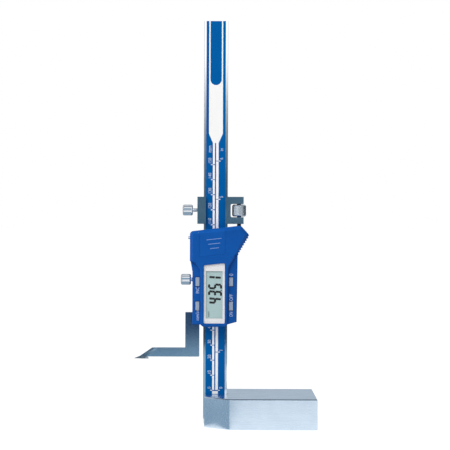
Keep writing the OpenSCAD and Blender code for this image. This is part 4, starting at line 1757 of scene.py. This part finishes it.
class Surroundings(Wiring):
    """The world: white behind the gauge, a plain level on it, and soft screens for gloss."""

    WHITE = (1.0, 1.0, 1.0)
    BLACK = (0.0, 0.0, 0.0)
    # Where a flag's soft edge starts and ends, as shares of its half size
    FLAG_EDGE = (1.15, 0.85)
    # The Y of the directions where the screen round the camera fades in
    AHEAD_EDGE = (-0.93, -0.98)
    # How much bluer than grey the plain level is
    COOL = 1.02

    def __init__(self) -> None:
        """Start the world, and split its directions into X, Y and Z."""
        world = bpy.data.worlds.new("studio")
        world.use_nodes = True
        bpy.context.scene.world = world
        super().__init__(world.node_tree)
        self.way = self.node("ShaderNodeTexCoord").outputs["Generated"]
        self.axes = self.node("ShaderNodeSeparateXYZ", {"Vector": self.way}).outputs

    def screen(self, axis: str, stops: Sequence[tuple[float, Colour]]) -> Socket:
        """Brightness of the surroundings along one axis.

        Args:
            axis: X, Y or Z.
            stops: Places along the axis, from -1 to 1, and the colour at each.

        Returns:
            The colour.
        """
        span = self.node("ShaderNodeMapRange", {"From Min": -1.0, "Value": self.axes[axis]})
        shares = [((where + 1) / 2, colour) for where, colour in stops]
        return self.ramp(span.outputs["Result"], shares, soft=True)

    def choose(self, switch: Socket, no: Socket, yes: Socket | Colour) -> Socket:
        """Pick one of two colours.

        Args:
            switch: 0 for the first, 1 for the second.
            no: The first colour.
            yes: The second colour.

        Returns:
            The colour picked.
        """
        feed = {"Factor": switch, "A": no, "B": (*yes, 1.0) if isinstance(yes, tuple) else yes}
        return self.node("ShaderNodeMix", feed, data_type="RGBA").outputs["Result"]

    def flag(self, behind: Socket, centre: Point3, size: Point3, colour: Colour) -> Socket:
        """Hang an oval dark flag in front of the surroundings.

        Args:
            behind: The surroundings' colour.
            centre: The direction of its middle.
            size: Its half size along each axis, for a distance of 1.
            colour: Its colour.

        Returns:
            The surroundings with the flag.
        """
        off = self.node("ShaderNodeVectorMath", {0: self.way, 1: centre}, operation="SUBTRACT")
        share = self.node("ShaderNodeVectorMath", {0: off.outputs["Vector"], 1: size}, operation="DIVIDE")
        far = self.node("ShaderNodeVectorMath", {0: share.outputs["Vector"]}, operation="LENGTH")
        return self.choose(self.step(far.outputs["Value"], *self.FLAG_EDGE), behind, colour)

    def gloss(self) -> Socket:
        """What polished faces see: the screens all round, the flags, and a screen round the camera."""
        around = self.screen("Y", [
            (-1.0, (1.2, 1.22, 1.25)),
            (-0.72, (1.1, 1.14, 1.18)),
            (-0.5, (0.64, 0.67, 0.71)),
            (-0.2, (0.06, 0.08, 0.11)),
            (0.08, (0.08, 0.10, 0.13)),
            (0.4, (0.44, 0.48, 0.53)),
            (1.0, (0.54, 0.59, 0.64)),
        ])
        ahead = self.screen("Z", [
            (-0.15, (0.40, 0.45, 0.50)),
            (-0.124, (0.02, 0.04, 0.07)),
            (0.04, (0.05, 0.09, 0.14)),
            (0.08, (0.18, 0.22, 0.26)),
            (0.114, (0.44, 0.47, 0.50)),
            (0.155, (1.12, 1.12, 1.12)),
        ])
        beside = self.screen("Y", [
            (-0.3, (0.98, 0.99, 1.0)),
            (0.1, (0.62, 0.65, 0.68)),
            (1.0, (0.54, 0.59, 0.64)),
        ])
        sides = [(-0.55, self.WHITE), (-0.25, self.BLACK), (0.35, self.BLACK), (0.65, self.WHITE)]
        around = self.choose(self.screen("X", sides), around, beside)
        # Each flag's direction, half size and colour
        flags = (
            ((1.0, 0.0, 0.0), (0.85, 0.85, 0.12), (0.05, 0.07, 0.09)),
            ((-0.9, 0.42, 0.0), (0.4, 0.4, 0.5), (0.06, 0.08, 0.10)),
            ((-0.52, -0.65, 0.54), (0.4, 0.4, 0.4), (0.05, 0.09, 0.13)),
            ((-0.32, -0.88, 0.33), (0.22, 0.22, 0.22), (0.08, 0.12, 0.16)),
        )
        for centre, size, colour in flags:
            around = self.flag(around, centre, size, colour)
        return self.choose(self.step(self.axes["Y"], *self.AHEAD_EDGE), around, ahead)

    def build(self, level: float) -> None:
        """Join the surroundings up to the world.

        Args:
            level: Brightness of the plain level that lights the gauge.
        """
        rays = self.node("ShaderNodeLightPath").outputs
        plain = self.node("ShaderNodeRGB").outputs[0]
        plain.default_value = (level, level, level * self.COOL, 1.0)
        colour = self.choose(rays["Is Glossy Ray"], plain, self.gloss())
        feed = {0: rays["Is Camera Ray"], 1: rays["Is Transmission Ray"]}
        seen = self.node("ShaderNodeMath", feed, operation="MAXIMUM")
        colour = self.choose(seen.outputs["Value"], colour, self.WHITE)
        self.link(colour, self.tree.nodes["Background"].inputs["Color"])


class StudioNodes(Wiring):
    """The node tree of a plain material for the studio's floor or a card."""

    def __init__(self, name: str) -> None:
        """Start a material with nothing in its tree.

        Args:
            name: The material's name.
        """
        self.material = bpy.data.materials.new(name)
        self.material.use_nodes = True
        super().__init__(self.material.node_tree)
        self.tree.nodes.clear()

    def finish(self, shader: Socket) -> bpy.types.Material:
        """Send a shader to the material's surface.

        Args:
            shader: The shader.

        Returns:
            The material.
        """
        self.node("ShaderNodeOutputMaterial", {"Surface": shader})
        return self.material


@dataclass
class Studio:
    """The camera, the lamps, the surroundings, the floor and the cards."""

    camera_at: Point3 = (6.25, -704.5, 132.5)
    lens: float = 84.55
    sensor: float = 36.0
    roll: float = 0.205
    surround: float = 0.38
    key_power: float = 13.3
    fill_power: float = 0.4
    lamps_aim: Point3 = (0.0, 0.0, 0.12)
    clip: Point2 = (0.01, 50.0)
    floor_reach: tuple[Point2, Point2, Point2] = ((-9000.0, 9000.0), (-330.0, 30000.0), (-3.0, -0.02))
    floor_grain: float = 40.0
    floor_tone: Point2 = (0.88, 0.9)
    floor_glow: float = 1.18
    floor_glow_share: float = 0.8

    def camera(self) -> None:
        """Set the camera where the photograph was taken from."""
        data = bpy.data.cameras.new("photo_camera")
        data.lens, data.sensor_width = self.lens, self.sensor
        data.clip_start, data.clip_end = self.clip
        camera = stand_alone("photo_camera", data)
        camera.matrix_world = (
            Matrix.Translation(Vector(self.camera_at) * MM)
            @ Matrix.Rotation(math.pi / 2, 4, "X")
            @ Matrix.Rotation(math.radians(self.roll), 4, "Z")
        )
        bpy.context.scene.camera = camera

    def lamp(self, name: str, at: Point3, power: float, size: float) -> None:
        """Add a soft square lamp that faces the gauge.

        Args:
            name: The lamp's name.
            at: Its place, in metres.
            power: Its power, in watts.
            size: Its width, in metres.
        """
        data = bpy.data.lights.new(name, "AREA")
        data.energy, data.size = power, size
        lamp = stand_alone(name, data)
        lamp.visible_glossy = False
        lamp.location = at
        aim = Vector(self.lamps_aim) - Vector(at)
        lamp.rotation_euler = aim.to_track_quat("-Z", "Y").to_euler()

    def floor(self) -> None:
        """Lay a plain pale floor that keeps the gauge's shadow."""
        floor = stand_alone("floor", Solid().box(*self.floor_reach).mesh("floor"))
        nodes = StudioNodes("pale_floor")
        grain = nodes.node("ShaderNodeTexNoise", {"Scale": self.floor_grain}).outputs["Fac"]
        low, high = self.floor_tone
        tone = nodes.node("ShaderNodeMapRange", {"To Min": low, "To Max": high, "Value": grain})
        matt = nodes.node("ShaderNodeBsdfDiffuse", {"Color": tone.outputs["Result"]}).outputs["BSDF"]
        glow = nodes.node("ShaderNodeEmission", {"Strength": self.floor_glow}).outputs["Emission"]
        rays = nodes.node("ShaderNodeLightPath").outputs
        feed = {0: rays["Is Camera Ray"], 1: rays["Is Glossy Ray"]}
        seen = nodes.node("ShaderNodeMath", feed, operation="MAXIMUM").outputs["Value"]
        share = nodes.node("ShaderNodeMath", {0: seen, 1: self.floor_glow_share}, operation="MULTIPLY")
        mix = nodes.node("ShaderNodeMixShader", {0: share.outputs["Value"], 1: matt, 2: glow})
        floor.data.materials.append(nodes.finish(mix.outputs["Shader"]))

    def card(self, name: str, colour: Colour, *sheets: tuple[Point2, Point2, Point2]) -> None:
        """Stand or lay a card beside the gauge, which only shows in polished faces.

        Args:
            name: The card's name.
            colour: Its colour.
            *sheets: The reach of each of its sheets along X, Y and Z.
        """
        shape = Solid()
        for x, y, z in sheets:
            shape.box(x, y, z)
        card = stand_alone(name, shape.mesh(name))
        nodes = StudioNodes(name)
        glow = nodes.node("ShaderNodeEmission", {"Color": (*colour, 1.0)})
        card.data.materials.append(nodes.finish(glow.outputs["Emission"]))
        card.visible_camera = card.visible_diffuse = card.visible_shadow = card.visible_transmission = False

    def build(self) -> None:
        """Set up the whole studio."""
        self.camera()
        Surroundings().build(self.surround)
        self.floor()
        flat, upright, tall = (-0.01, 0.01), (85.0, 85.1), (95.0, 210.0)
        front = (
            ((-420.0, -12.0), (-450.0, 22.6), flat),
            ((-12.0, 9.5), (-450.0, -22.7), flat),
            ((9.5, 200.0), (-450.0, -280.0), flat),
        )
        self.card("card_front_left", (0.29, 0.40, 0.50), *front)
        self.card("card_right", (0.24, 0.27, 0.31), ((300.0, 3000.0), (-1500.0, 22.6), flat))
        self.card("card_back", (0.28, 0.34, 0.40), ((-3000.0, 3000.0), (22.7, 3000.0), flat))
        sheets = ((upright, (-80.0, -8.0), tall), (upright, (8.0, 60.0), tall))
        self.card("card_upright", (0.02, 0.03, 0.04), *sheets)
        self.lamp("key_lamp", (-0.62, -0.6, 1.0), self.key_power, size=0.75)
        self.lamp("fill_lamp", (0.75, -0.75, 0.25), self.fill_power, size=0.7)
        bpy.context.scene.view_settings.view_transform = "Standard"


def main() -> None:
    """Load the frame, dress it and build everything that goes on it."""
    logging.basicConfig(level=logging.INFO, format="%(name)s: %(message)s")
    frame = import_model()
    Studio().build()
    for assembly in (Foot, Beam, CarriageFrame, Display, Housing, FineAdjustment):
        LOG.info("building %s", assembly.__name__)
        assembly(frame["nodes"]).build()


if __name__ == "__main__":
    main()
